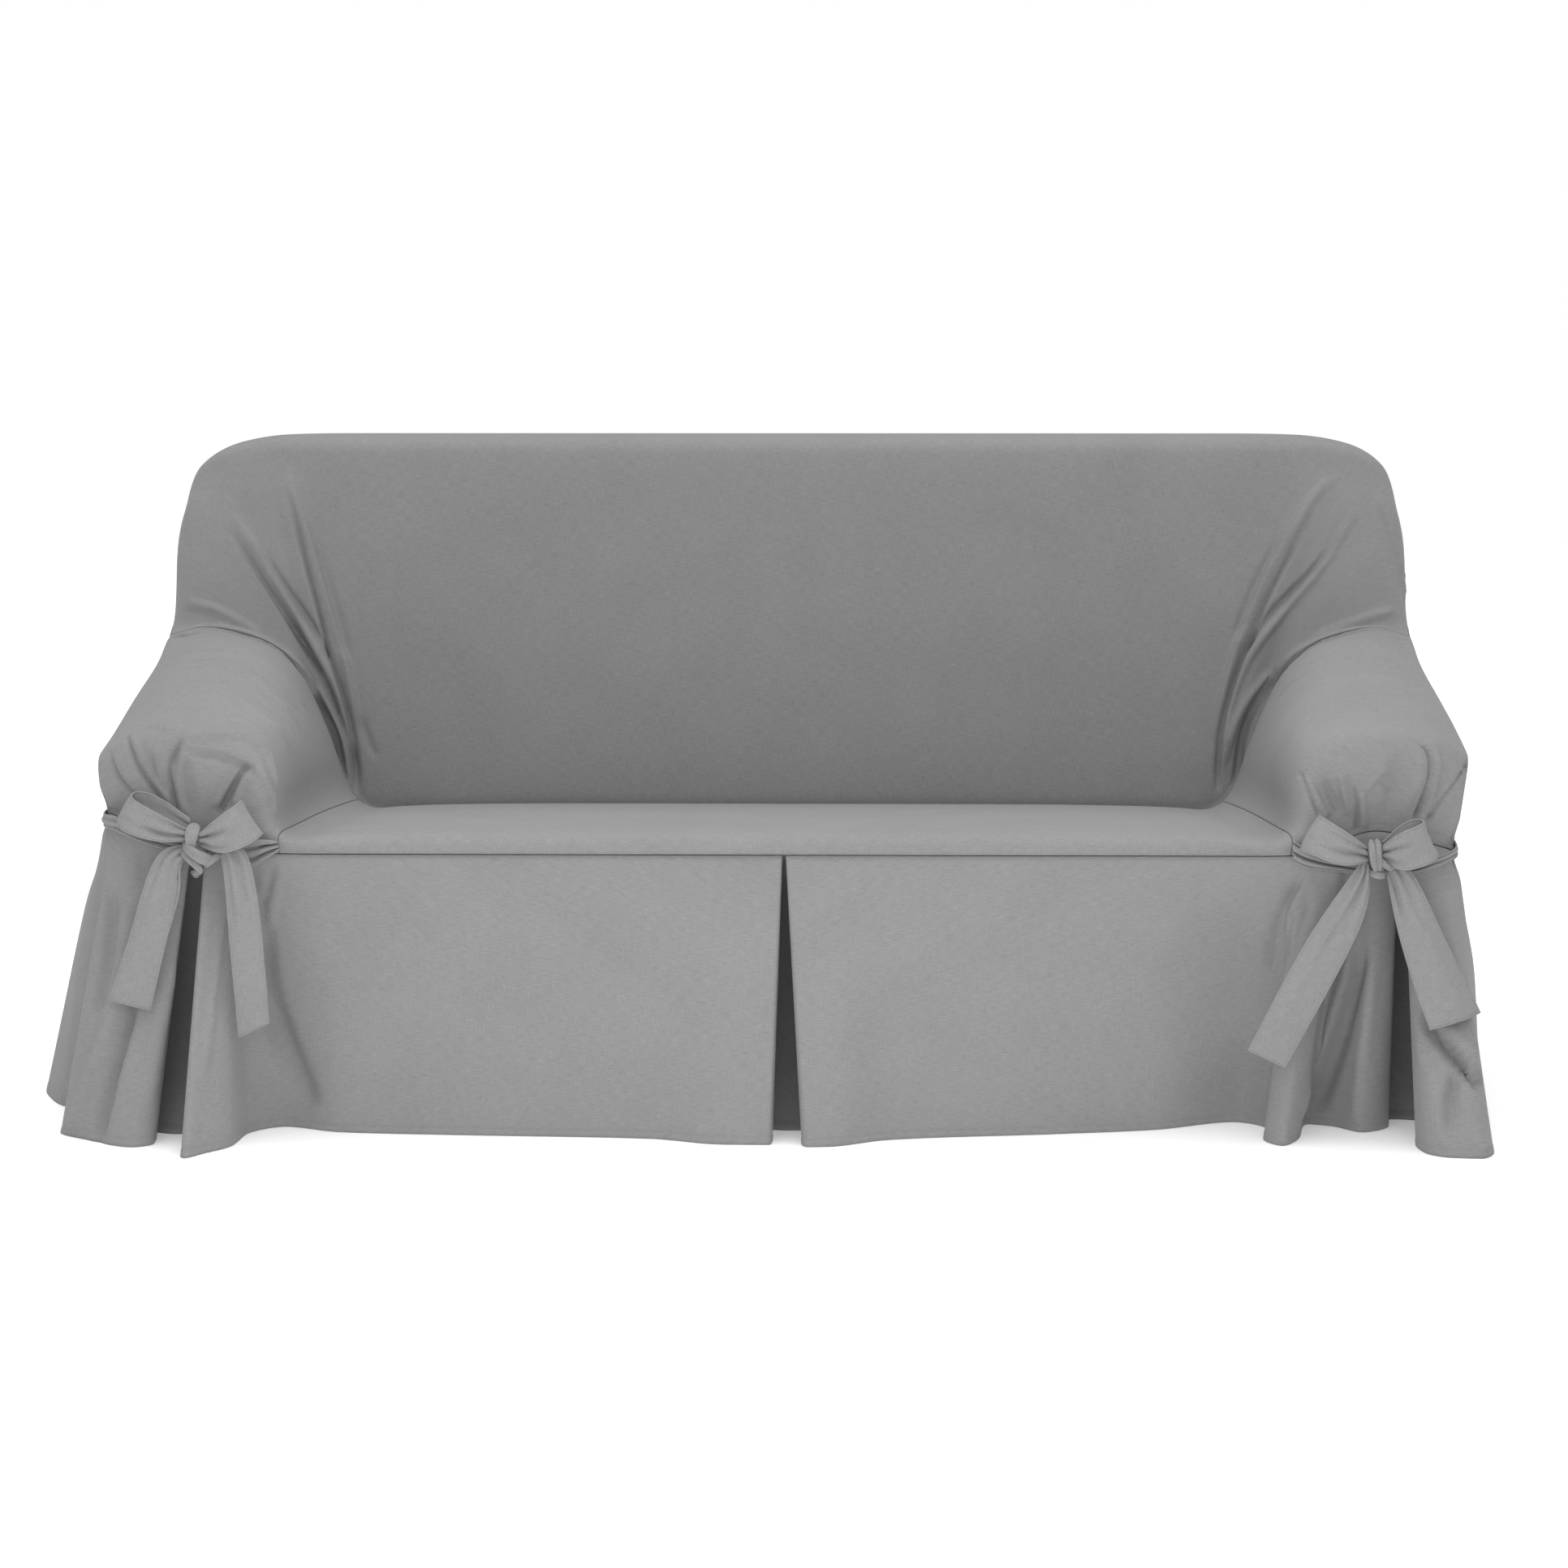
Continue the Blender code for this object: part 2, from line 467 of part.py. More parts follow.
# ---------------------------------------------------------------- ties
# Each row of a ribbon crosses it: (x, depth, height) of its first edge and of its second edge, the
# thickness of the cloth and how far the middle stands out. Rows run from the knot to the free end,
# or once round a loop and back to the knot.
LEFT_BOW = {
    "outer_run": (
        ((-0.9600, 0.064, 0.458), (-0.9625, 0.066, 0.438), 0.003, 0.001),
        ((-0.9545, 0.030, 0.457), (-0.9570, 0.032, 0.437), 0.003, 0.001),
        ((-0.9420, -0.014, 0.453), (-0.9440, -0.014, 0.434), 0.003, 0.002),
        ((-0.9160, -0.026, 0.447), (-0.9160, -0.026, 0.426), 0.005, 0.002),
        ((-0.8940, -0.028, 0.439), (-0.8940, -0.028, 0.416), 0.008, 0.002),
        ((-0.8600, -0.030, 0.427), (-0.8600, -0.030, 0.403), 0.008, 0.002),
        ((-0.8250, -0.036, 0.417), (-0.8250, -0.036, 0.397), 0.010, 0.002),
    ),
    "inner_run": (
        ((-0.7720, -0.036, 0.411), (-0.7720, -0.036, 0.387), 0.010, 0.002),
        ((-0.7520, -0.028, 0.405), (-0.7520, -0.028, 0.376), 0.010, 0.002),
        ((-0.7290, -0.024, 0.410), (-0.7300, -0.024, 0.368), 0.010, 0.002),
        ((-0.7020, -0.018, 0.406), (-0.7000, -0.018, 0.369), 0.008, 0.001),
    ),
    "outer_loop": (
        ((-0.8240, -0.060, 0.428), (-0.8240, -0.060, 0.407), 0.006, 0.001),
        ((-0.8490, -0.074, 0.455), (-0.8590, -0.074, 0.418), 0.004, 0.003),
        ((-0.8850, -0.070, 0.477), (-0.9060, -0.068, 0.437), 0.003, 0.003),
        ((-0.8940, -0.055, 0.480), (-0.9190, -0.053, 0.440), 0.003, 0.002),
        ((-0.8850, -0.041, 0.475), (-0.9060, -0.040, 0.436), 0.003, 0.002),
        ((-0.8520, -0.042, 0.446), (-0.8560, -0.042, 0.414), 0.004, 0.002),
        ((-0.8260, -0.048, 0.421), (-0.8260, -0.048, 0.408), 0.006, 0.001),
    ),
    "inner_loop": (
        ((-0.7700, -0.060, 0.428), (-0.7700, -0.060, 0.406), 0.006, 0.001),
        ((-0.7570, -0.074, 0.447), (-0.7470, -0.074, 0.408), 0.004, 0.003),
        ((-0.7410, -0.074, 0.471), (-0.7180, -0.072, 0.420), 0.003, 0.003),
        ((-0.7360, -0.058, 0.475), (-0.7080, -0.056, 0.428), 0.003, 0.002),
        ((-0.7410, -0.044, 0.468), (-0.7180, -0.043, 0.420), 0.003, 0.002),
        ((-0.7540, -0.044, 0.441), (-0.7480, -0.044, 0.411), 0.004, 0.002),
        ((-0.7700, -0.050, 0.422), (-0.7700, -0.050, 0.408), 0.006, 0.001),
    ),
    "outer_tail": (
        ((-0.8240, -0.058, 0.402), (-0.8200, -0.058, 0.387), 0.006, 0.001),
        ((-0.8460, -0.064, 0.400), (-0.8250, -0.064, 0.370), 0.004, 0.003),
        ((-0.8650, -0.066, 0.371), (-0.8270, -0.066, 0.342), 0.003, 0.004),
        ((-0.8910, -0.069, 0.292), (-0.8410, -0.069, 0.288), 0.003, 0.003),
        ((-0.9230, -0.074, 0.199), (-0.8650, -0.074, 0.185), 0.003, 0.003),
    ),
    "inner_tail": (
        ((-0.7740, -0.058, 0.386), (-0.7690, -0.058, 0.401), 0.006, 0.001),
        ((-0.7660, -0.062, 0.370), (-0.7390, -0.062, 0.393), 0.004, 0.003),
        ((-0.7650, -0.066, 0.346), (-0.7220, -0.066, 0.356), 0.003, 0.004),
        ((-0.7580, -0.074, 0.292), (-0.7130, -0.074, 0.296), 0.003, 0.003),
        ((-0.7430, -0.088, 0.150), (-0.7000, -0.088, 0.171), 0.003, 0.003),
    ),
}
LEFT_KNOT = (-0.7970, -0.050, 0.4060)
RIGHT_BOW = {
    "outer_run": (
        ((0.9272, 0.062, 0.412), (0.9276, 0.064, 0.397), 0.003, 0.001),
        ((0.9310, 0.024, 0.411), (0.9314, 0.026, 0.396), 0.003, 0.001),
        ((0.9255, -0.017, 0.408), (0.9255, -0.018, 0.393), 0.003, 0.002),
        ((0.9060, -0.028, 0.400), (0.9060, -0.028, 0.386), 0.006, 0.002),
        ((0.8820, -0.030, 0.392), (0.8820, -0.030, 0.377), 0.008, 0.002),
        ((0.8600, -0.032, 0.386), (0.8600, -0.032, 0.370), 0.009, 0.002),
        ((0.8390, -0.036, 0.388), (0.8390, -0.036, 0.369), 0.010, 0.002),
    ),
    "inner_run": (
        ((0.7850, -0.036, 0.397), (0.7850, -0.036, 0.371), 0.010, 0.002),
        ((0.7580, -0.028, 0.395), (0.7580, -0.028, 0.370), 0.010, 0.002),
        ((0.7260, -0.023, 0.401), (0.7260, -0.023, 0.376), 0.010, 0.002),
        ((0.6960, -0.018, 0.405), (0.6980, -0.018, 0.386), 0.008, 0.001),
    ),
    "outer_loop": (
        ((0.8360, -0.060, 0.413), (0.8360, -0.060, 0.390), 0.006, 0.001),
        ((0.8480, -0.074, 0.434), (0.8560, -0.074, 0.388), 0.004, 0.003),
        ((0.8640, -0.072, 0.446), (0.8820, -0.070, 0.397), 0.003, 0.003),
        ((0.8690, -0.056, 0.448), (0.8900, -0.054, 0.401), 0.003, 0.002),
        ((0.8640, -0.044, 0.444), (0.8820, -0.042, 0.399), 0.003, 0.002),
        ((0.8500, -0.044, 0.428), (0.8560, -0.044, 0.391), 0.004, 0.002),
        ((0.8360, -0.050, 0.409), (0.8360, -0.050, 0.393), 0.006, 0.001),
    ),
    "inner_loop": (
        ((0.7820, -0.060, 0.413), (0.7820, -0.060, 0.392), 0.006, 0.001),
        ((0.7620, -0.074, 0.434), (0.7480, -0.074, 0.396), 0.004, 0.003),
        ((0.7350, -0.072, 0.453), (0.7110, -0.070, 0.406), 0.003, 0.003),
        ((0.7260, -0.056, 0.457), (0.7000, -0.054, 0.409), 0.003, 0.002),
        ((0.7350, -0.042, 0.451), (0.7110, -0.041, 0.406), 0.003, 0.002),
        ((0.7620, -0.043, 0.429), (0.7500, -0.043, 0.398), 0.004, 0.002),
        ((0.7820, -0.050, 0.409), (0.7820, -0.050, 0.395), 0.006, 0.001),
    ),
    "outer_tail": (
        ((0.8300, -0.056, 0.370), (0.8380, -0.056, 0.382), 0.006, 0.001),
        ((0.8280, -0.062, 0.349), (0.8560, -0.060, 0.370), 0.004, 0.004),
        ((0.8340, -0.072, 0.295), (0.8900, -0.066, 0.312), 0.003, 0.007),
        ((0.8550, -0.084, 0.225), (0.9180, -0.066, 0.250), 0.003, 0.013),
        ((0.8760, -0.096, 0.168), (0.9500, -0.064, 0.186), 0.003, 0.018),
    ),
    "inner_tail": (
        ((0.7850, -0.058, 0.387), (0.7930, -0.058, 0.371), 0.006, 0.001),
        ((0.7690, -0.062, 0.370), (0.7950, -0.062, 0.342), 0.004, 0.003),
        ((0.7030, -0.070, 0.277), (0.7610, -0.070, 0.254), 0.003, 0.004),
        ((0.6320, -0.080, 0.136), (0.6840, -0.080, 0.112), 0.003, 0.003),
    ),
}
RIGHT_KNOT = (0.8090, -0.050, 0.3900)
KNOT_SIZE = (0.023, 0.017, 0.026)    # half width, half depth, half height
RIBBON_STEP = 0.016                  # length of a ribbon's faces
RIBBON_WIDTH_STEPS = 3               # faces across a ribbon


def ribbon_shell(rows):
    """The closed solid of a ribbon through the given rows."""
    rows = np.array([(*first, *second, thickness, bow) for first, second, thickness, bow in rows])
    centre = 0.5 * (rows[:, :3] + rows[:, 3:6])
    length = np.linalg.norm(np.diff(centre, axis=0), axis=1)
    steps = [max(2, round(part / RIBBON_STEP)) for part in length]
    fine = spline_weights(stepped(steps), len(rows)) @ rows
    first = fine[:, :3]
    second = fine[:, 3:6]
    thickness = fine[:, 6]
    bow = fine[:, 7]
    along = np.gradient(0.5 * (first + second), axis=0)
    facing = np.cross(along, second - first)
    facing /= np.linalg.norm(facing, axis=1)[:, None]
    count = RIBBON_WIDTH_STEPS + 1
    front = []
    back = []
    for place in range(len(fine)):
        for share in np.linspace(0.0, 1.0, count):
            middle = first[place] * (1 - share) + second[place] * share
            middle = middle + facing[place] * bow[place] * np.sin(np.pi * share)
            front.append(middle + 0.5 * thickness[place] * facing[place])
            back.append(middle - 0.5 * thickness[place] * facing[place])
    total = len(front)
    faces = []
    for i in range(len(fine) - 1):
        for j in range(count - 1):
            a = i * count + j
            faces.append((a, a + 1, a + 1 + count, a + count))
    edges = {(face[k], face[(k + 1) % 4]) for face in faces for k in range(4)}
    closed = [tuple(reversed(face)) for face in faces]
    closed += [tuple(corner + total for corner in face) for face in faces]
    closed += [(a, b, b + total, a + total) for a, b in edges if (b, a) not in edges]
    return front + back, closed


def knot_shell(centre):
    """A knot: an egg shape with two grooves where the ribbons cross."""
    rings = 9
    sides = 14
    points = []
    for ring in range(1, rings):
        polar = np.pi * ring / rings
        for side in range(sides):
            turn = 2 * np.pi * side / sides
            groove = 1.0 - 0.10 * np.cos(2 * turn + 0.8) * np.sin(polar) ** 2
            across = np.array([np.sin(polar) * np.cos(turn), np.sin(polar) * np.sin(turn), np.cos(polar)])
            points.append(np.array(centre) + across * np.array(KNOT_SIZE) * groove)
    top = np.array(centre) + np.array([0.0, 0.0, KNOT_SIZE[2]])
    bottom = np.array(centre) - np.array([0.0, 0.0, KNOT_SIZE[2]])
    points += [top, bottom]
    faces = []
    for ring in range(rings - 2):
        for side in range(sides):
            a = ring * sides + side
            b = ring * sides + (side + 1) % sides
            faces.append((a, a + sides, b + sides, b))
    last = (rings - 2) * sides
    for side in range(sides):
        after = (side + 1) % sides
        faces.append((len(points) - 2, side, after))
        faces.append((len(points) - 1, last + after, last + side))
    return points, faces


# ---------------------------------------------------------------- objects
def add_object(name, points, faces, sharp_degrees):
    """A named object with its own cloth material, moved into the cover's frame."""
    mesh = bpy.data.meshes.new(name)
    moved = np.array(points) - np.array([ORIGIN_X, ORIGIN_DEPTH, 0.0])
    mesh.from_pydata(moved.tolist(), [], [list(face) for face in faces])
    mesh.update()
    mesh.shade_smooth()
    mesh.set_sharp_from_angle(angle=np.radians(sharp_degrees))
    material = bpy.data.materials.new(name + "_cloth")
    material.use_nodes = True
    shader = material.node_tree.nodes["Principled BSDF"]
    shader.inputs["Base Color"].default_value = CLOTH_COLOUR
    shader.inputs["Roughness"].default_value = CLOTH_ROUGHNESS
    shader.inputs["Metallic"].default_value = 0.0
    mesh.materials.append(material)
    thing = bpy.data.objects.new(name, mesh)
    bpy.context.collection.objects.link(thing)
    return thing


def add_bow(side, bow, knot):
    """The knot, loops, tails and runs of one arm's bow."""
    add_object(f"bow_knot_{side}", *knot_shell(knot), 60.0)
    for piece, rows in bow.items():
        points, faces = ribbon_shell(rows)
        add_object(f"tie_{piece}_{side}", points, faces, 50.0)


def main():
    for thing in list(bpy.data.objects):
        bpy.data.objects.remove(thing, do_unlink=True)
    sheet = whole_sheet()
    for panel in PANELS:
        add_object(panel, *panel_shell(sheet, panel), 70.0)
    add_bow("left", LEFT_BOW, LEFT_KNOT)
    add_bow("right", RIGHT_BOW, RIGHT_KNOT)


main()
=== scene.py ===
"""Looks of the sofa slipcover: its fine cloth panels, ties and stitching, with cloth materials,
a studio floor, soft light and a camera.

Places in the tables are x (right), depth (back from the plane of the seat front) and height, as in
the part's own source. The tables of places, folds and creases are in millimetres, and metres() turns
them into metres. All other lengths are in metres. ORIGIN moves the finished points into the part's
frame.
"""

import bpy
import numpy as np
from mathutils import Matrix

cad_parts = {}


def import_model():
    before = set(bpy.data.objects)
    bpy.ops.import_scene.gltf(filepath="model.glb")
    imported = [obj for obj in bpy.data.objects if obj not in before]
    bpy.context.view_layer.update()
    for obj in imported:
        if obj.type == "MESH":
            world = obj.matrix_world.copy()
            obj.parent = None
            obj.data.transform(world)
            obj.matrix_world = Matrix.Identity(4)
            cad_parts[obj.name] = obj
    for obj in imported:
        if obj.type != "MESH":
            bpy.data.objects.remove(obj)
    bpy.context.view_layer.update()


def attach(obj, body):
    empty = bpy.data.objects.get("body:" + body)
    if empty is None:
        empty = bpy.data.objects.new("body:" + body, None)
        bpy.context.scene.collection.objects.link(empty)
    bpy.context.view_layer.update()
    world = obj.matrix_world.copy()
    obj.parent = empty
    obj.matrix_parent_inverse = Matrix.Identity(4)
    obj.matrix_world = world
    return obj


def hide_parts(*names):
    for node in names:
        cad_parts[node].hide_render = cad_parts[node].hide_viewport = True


ORIGIN = np.array([-0.0445, 0.368, 0.0])
MM = 1000.0              # millimetres in a metre
SAME = 6                 # points that agree to this many decimals are one point

# ---------------------------------------------------------------- driving sizes
CLOTH = 0.0017           # thickness of the cloth
SEAM_GAP = 0.0008        # distance between two sewn panels
WAIST_GAP = 0.0013       # the skirt starts this far under the seat and the arm fronts
PLEAT_LAYER = 0.0045     # distance between the layers of a closed pleat
FLANK = 110              # the seat and the back stay flat up to this many millimetres from an arm
RIGHT_TUCK = 0.006       # the right arm's outer side is this much slimmer than the left one's
REAR_FLARE = 0.030       # the outside back hangs this much further out at the hem

# The cover's shape in sections from the front seam over the seat and up the back to the outside
# back: middle (depth, height), then (x, depth, height) beside the arm and on its inner wall.
SEAT_AND_BACK = (
    # section, middle, crease, wall
    ("waist", (0, 392), (706, 0, 392), (745, -4, 396)),
    ("face", (-7, 404), (710, -7, 402), (732, -12, 465)),
    ("brow", (8, 418), (710, 4, 404), (710, -2, 530)),
    ("shelf", (50, 419), (706, 45, 402), (692, 45, 535)),
    ("mid", (260, 412), (690, 260, 396), (698, 270, 530)),
    ("rear", (480, 396), (674, 470, 384), (706, 470, 520)),
    ("lip", (532, 392), (672, 530, 378), (708, 525, 508)),
    ("crease", (562, 372), (668, 556, 364), (711, 552, 500)),
    ("foot", (550, 405), (672, 552, 408), (716, 560, 530)),
    ("low", (573, 575), (682, 572, 590), (743, 580, 680)),
    ("high", (612, 762), (704, 606, 767), (785, 612, 815)),
    ("shoulder", (640, 903), (735, 638, 900), (815, 645, 905)),
    ("top front", (662, 953), (745, 660, 953), (828, 665, 950)),
    ("top rear", (800, 953), (745, 800, 953), (828, 798, 950)),
    ("nape", (856, 918), (745, 856, 918), (826, 854, 910)),
    ("yoke", (866, 655), (745, 866, 655), (830, 866, 655)),
)
# Then (x, depth, height) on the arm's inner top, its outer top and its outer edge.
ARMS = (
    # section, inner top, outer top, edge
    ("waist", (805, -6, 404), (882, -4, 425), (940, 14, 447)),
    ("face", (808, -16, 478), (886, -12, 490), (947, 14, 487)),
    ("brow", (795, -10, 560), (888, -8, 556), (948, 14, 522)),
    ("shelf", (772, 42, 576), (889, 42, 574), (949, 48, 532)),
    ("mid", (772, 270, 606), (891, 270, 616), (955, 270, 572)),
    ("rear", (768, 470, 630), (888, 470, 652), (956, 470, 610)),
    ("lip", (766, 530, 628), (888, 535, 660), (956, 535, 638)),
    ("crease", (766, 555, 618), (888, 560, 660), (956, 568, 648)),
    ("foot", (776, 562, 645), (896, 570, 682), (958, 590, 655)),
    ("low", (830, 585, 750), (938, 600, 765), (964, 625, 655)),
    ("high", (872, 620, 842), (960, 645, 838), (965, 665, 655)),
    ("shoulder", (890, 655, 896), (956, 690, 866), (966, 700, 655)),
    ("top front", (904, 685, 930), (956, 720, 880), (966, 725, 655)),
    ("top rear", (904, 790, 930), (956, 765, 880), (966, 765, 655)),
    ("nape", (896, 846, 885), (950, 828, 850), (966, 812, 655)),
    ("yoke", (900, 864, 655), (945, 860, 655), (966, 850, 655)),
)
# On the right arm the waist seam rises over the knot and then drops: (x, depth, height) on the inner
# wall, the inner top, the outer top and the outer edge.
RIGHT_WAIST = ((745, -4, 398), (800, -6, 434), (870, -4, 416), (921, 2, 400))
# The right arm's outer edge at the next sections back, where the tie draws it in.
RIGHT_EDGE = ((936, 18, 487), (941, 24, 522), (944, 56, 532))
# Faces from each section to the next, and from each column of the tables to the next, edge to middle.
SECTION_STEPS = (28, 22, 14, 42, 38, 8, 7, 8, 26, 28, 20, 9, 10, 7, 14)
COLUMN_STEPS = (20, 30, 26, 28, 28, 14)
SPANS_TO_CREASE_LINE = 4  # from the edge to the seam between arm and seat
SPANS_TO_BACK = 7        # from the waist to the crease between seat and back
SPANS_TO_TOP = 13        # from the waist to the seam at the rear of the top
SIDE_LEVELS = 50         # rows of points down the side cloth and the outside back
SKIRT_LEVELS = 50        # and down the skirt
SKIRT_STEP = 0.0070      # about the width of a face along the skirt's hem
PLEAT_BILLOW = 0.085     # the inside of a pleat stands back this much further between waist and hem
BILLOW_SHAPE = 0.7       # under 1, the inside of a pleat falls back sooner below the waist

# Where the side cloth under each section reaches the floor, and how far the tie draws it in above
# that: (x, depth, draw) at the left and the right.
SIDE_HEMS = (
    ("waist", (965, 85, 0), (971, -30, 0)),
    ("face", (998, 115, 7), (972, 36, 14)),
    ("brow", (1028, 140, 11), (982, 84, 20)),
    ("shelf", (1056, 165, 10), (991, 130, 21)),
    ("mid", (1105, 280, 4), (1006, 280, 10)),
    ("rear", (1083, 450, 0), (1008, 460, 3)),
    ("lip", (1068, 520, 0), (1006, 530, 0)),
    ("crease", (1061, 565, 0), (1004, 570, 0)),
    ("foot", (1056, 605, 0), (1003, 610, 0)),
    ("low", (1052, 645, 0), (1003, 650, 0)),
    ("high", (1048, 685, 0), (1002, 690, 0)),
    ("shoulder", (1044, 722, 0), (1002, 727, 0)),
    ("top front", (1040, 755, 0), (1001, 760, 0)),
    ("top rear", (1034, 792, 0), (1001, 797, 0)),
    ("nape", (1026, 835, 0), (1000, 840, 0)),
    ("yoke", (1015, 885, 0), (999, 885, 0)),
)
TIE_HEIGHT = 0.400       # the tie draws the side cloth in most at this height
TIE_REACH = 0.110        # its pull dies away over about this much cloth above and below

# The front skirt, one row for each fold from left to right: its x at the waist seam, the layer
# of the pleat it lies in there (0 is the front) and its place on the floor.
SKIRT_FOLDS = (
    # name, waist x, layer, hem x, hem depth
    ("left side seam", -940, 0, -965, 85),
    ("left corner hollow", -934, 0, -975, 45),
    ("left corner fold", -924, 0, -1008, -10),
    ("left corner front", -905, 0, -962, -55),
    ("left bow crown", -860, 0, -890, -98),
    ("left pleat edge", -820, 0, -866, -80),
    ("left pleat turn", -818, 0.5, -868, -50),
    ("left pleat return", -822, 1, -880, -34),
    ("left pleat back edge", -856, 1, -903, -14),
    ("left pleat back", -856, 2, -897, -1),
    ("left pleat inside", -810, 2, -845, -20),
    ("left pleat far back", -768, 2, -801, -4),
    ("left pleat far edge", -768, 1, -787, -14),
    ("left pleat far return", -794, 1, -796, -60),
    ("left cone turn", -798, 0.5, -814, -142),
    ("left cone edge", -795, 0, -807, -160),
    ("left cone front", -784, 0, -787, -134),
    ("left cone side", -764, 0, -756, -88),
    ("left cone hollow", -746, 0, -748, -18),
    ("left flat start", -710, 0, -700, 28),
    ("left flat", -618, 0, -618, -4),
    ("left field", -458, 0, -458, -18),
    ("left middle", -186, 0, -186, -36),
    ("left pleat swell", -80, 0, -81, -69),
    ("middle pleat edge", -6, 0, -20, -70),
    ("middle pleat turn", -3, 0.5, -16, -46),
    ("middle pleat return", -8, 1, -28, -22),
    ("middle pleat side", -56, 1, -66, 16),
    ("middle pleat back", -56, 2, -62, 34),
    ("middle pleat inside", 0, 2, 4, 16),
    ("middle pleat far back", 56, 2, 68, 22),
    ("middle pleat far side", 56, 1, 72, 4),
    ("middle far return", 8, 1, 38, -40),
    ("middle far turn", 3, 0.5, 26, -62),
    ("middle far edge", 6, 0, 32, -82),
    ("right pleat swell", 56, 0, 60, -80),
    ("right middle", 144, 0, 144, -38),
    ("right field", 377, 0, 377, 1),
    ("right flat", 515, 0, 515, 28),
    ("right flat end", 635, 0, 635, 78),
    ("right cone hollow", 702, 0, 676, 40),
    ("right cone edge", 716, 0, 664, -30),
    ("right cone front", 736, 0, 684, -64),
    ("right cone side", 763, 0, 708, -30),
    ("right hollow", 782, 0, 738, 66),
    ("right bow hollow", 798, 0, 770, 54),
    ("right bow crown", 818, 0, 806, 18),
    ("right pleat edge", 842, 0, 846, 50),
    ("right pleat turn", 844, 0.5, 849, 64),
    ("right pleat return", 839, 1, 842, 76),
    ("right pleat back edge", 800, 1, 818, 86),
    ("right pleat back", 800, 2, 824, 98),
    ("right pleat inside", 846, 2, 866, 98),
    ("right pleat far back", 888, 2, 904, 86),
    ("right pleat far edge", 888, 1, 910, 70),
    ("right far return", 860, 1, 886, 0),
    ("right far turn", 850, 0.5, 868, -64),
    ("right corner edge", 854, 0, 874, -104),
    ("right corner front", 880, 0, 900, -128),
    ("right corner fold", 899, 0, 943, -133),
    ("right corner side", 913, 0, 966, -96),
    ("right side seam", 923, 0, 971, -30),
)

# Long soft folds pressed into the sheet: (x, depth, height) where each starts, bends and ends, its
# half width and how high it stands (a hollow is below zero). They are those of the part's solids,
# apart from the left groove, which is shallower here.
FOLDS = (
    # name, start, bend, end, half width, rise
    ("left ridge", (-795, 640, 920), (-735, 600, 720), (-680, 555, 430), 34, 11),
    ("left hollow", (-850, 640, 860), (-770, 600, 650), (-690, 555, 430), 34, -14),
    ("left swell", (-900, 640, 800), (-820, 600, 660), (-705, 555, 470), 36, 10),
    ("right ridge", (835, 640, 900), (735, 600, 740), (668, 555, 440), 34, 11),
    ("right hollow", (868, 640, 830), (765, 600, 660), (680, 555, 430), 34, -14),
    ("right swell", (920, 640, 790), (830, 600, 670), (700, 555, 470), 36, 10),
    ("left pull 1", (-900, -12, 560), (-875, -12, 500), (-820, -12, 440), 26, -10),
    ("left pull 2", (-842, -12, 565), (-838, -12, 510), (-812, -12, 440), 26, -9),
    ("left pull 3", (-730, -12, 525), (-757, -12, 485), (-790, -12, 435), 26, -10),
    ("right pull 1", (930, -12, 530), (900, -12, 480), (840, -12, 425), 26, -10),
    ("right pull 2", (850, -12, 555), (842, -12, 500), (825, -12, 435), 26, -9),
    ("right pull 3", (722, -12, 520), (745, -12, 480), (785, -12, 430), 26, -10),
    ("left groove", (-980, 300, 452), (-962, 0, 454), (-895, -16, 432), 48, -9),
    ("right groove", (968, 300, 402), (954, 0, 402), (924, -16, 397), 48, -12),
    ("left waist", (-985, 500, 440), (-975, 200, 440), (-955, 15, 440), 160, -14),
    ("right waist", (975, 500, 375), (965, 200, 380), (950, 15, 388), 180, -18),
)
FOLD_POINTS = 17         # points along each of these folds

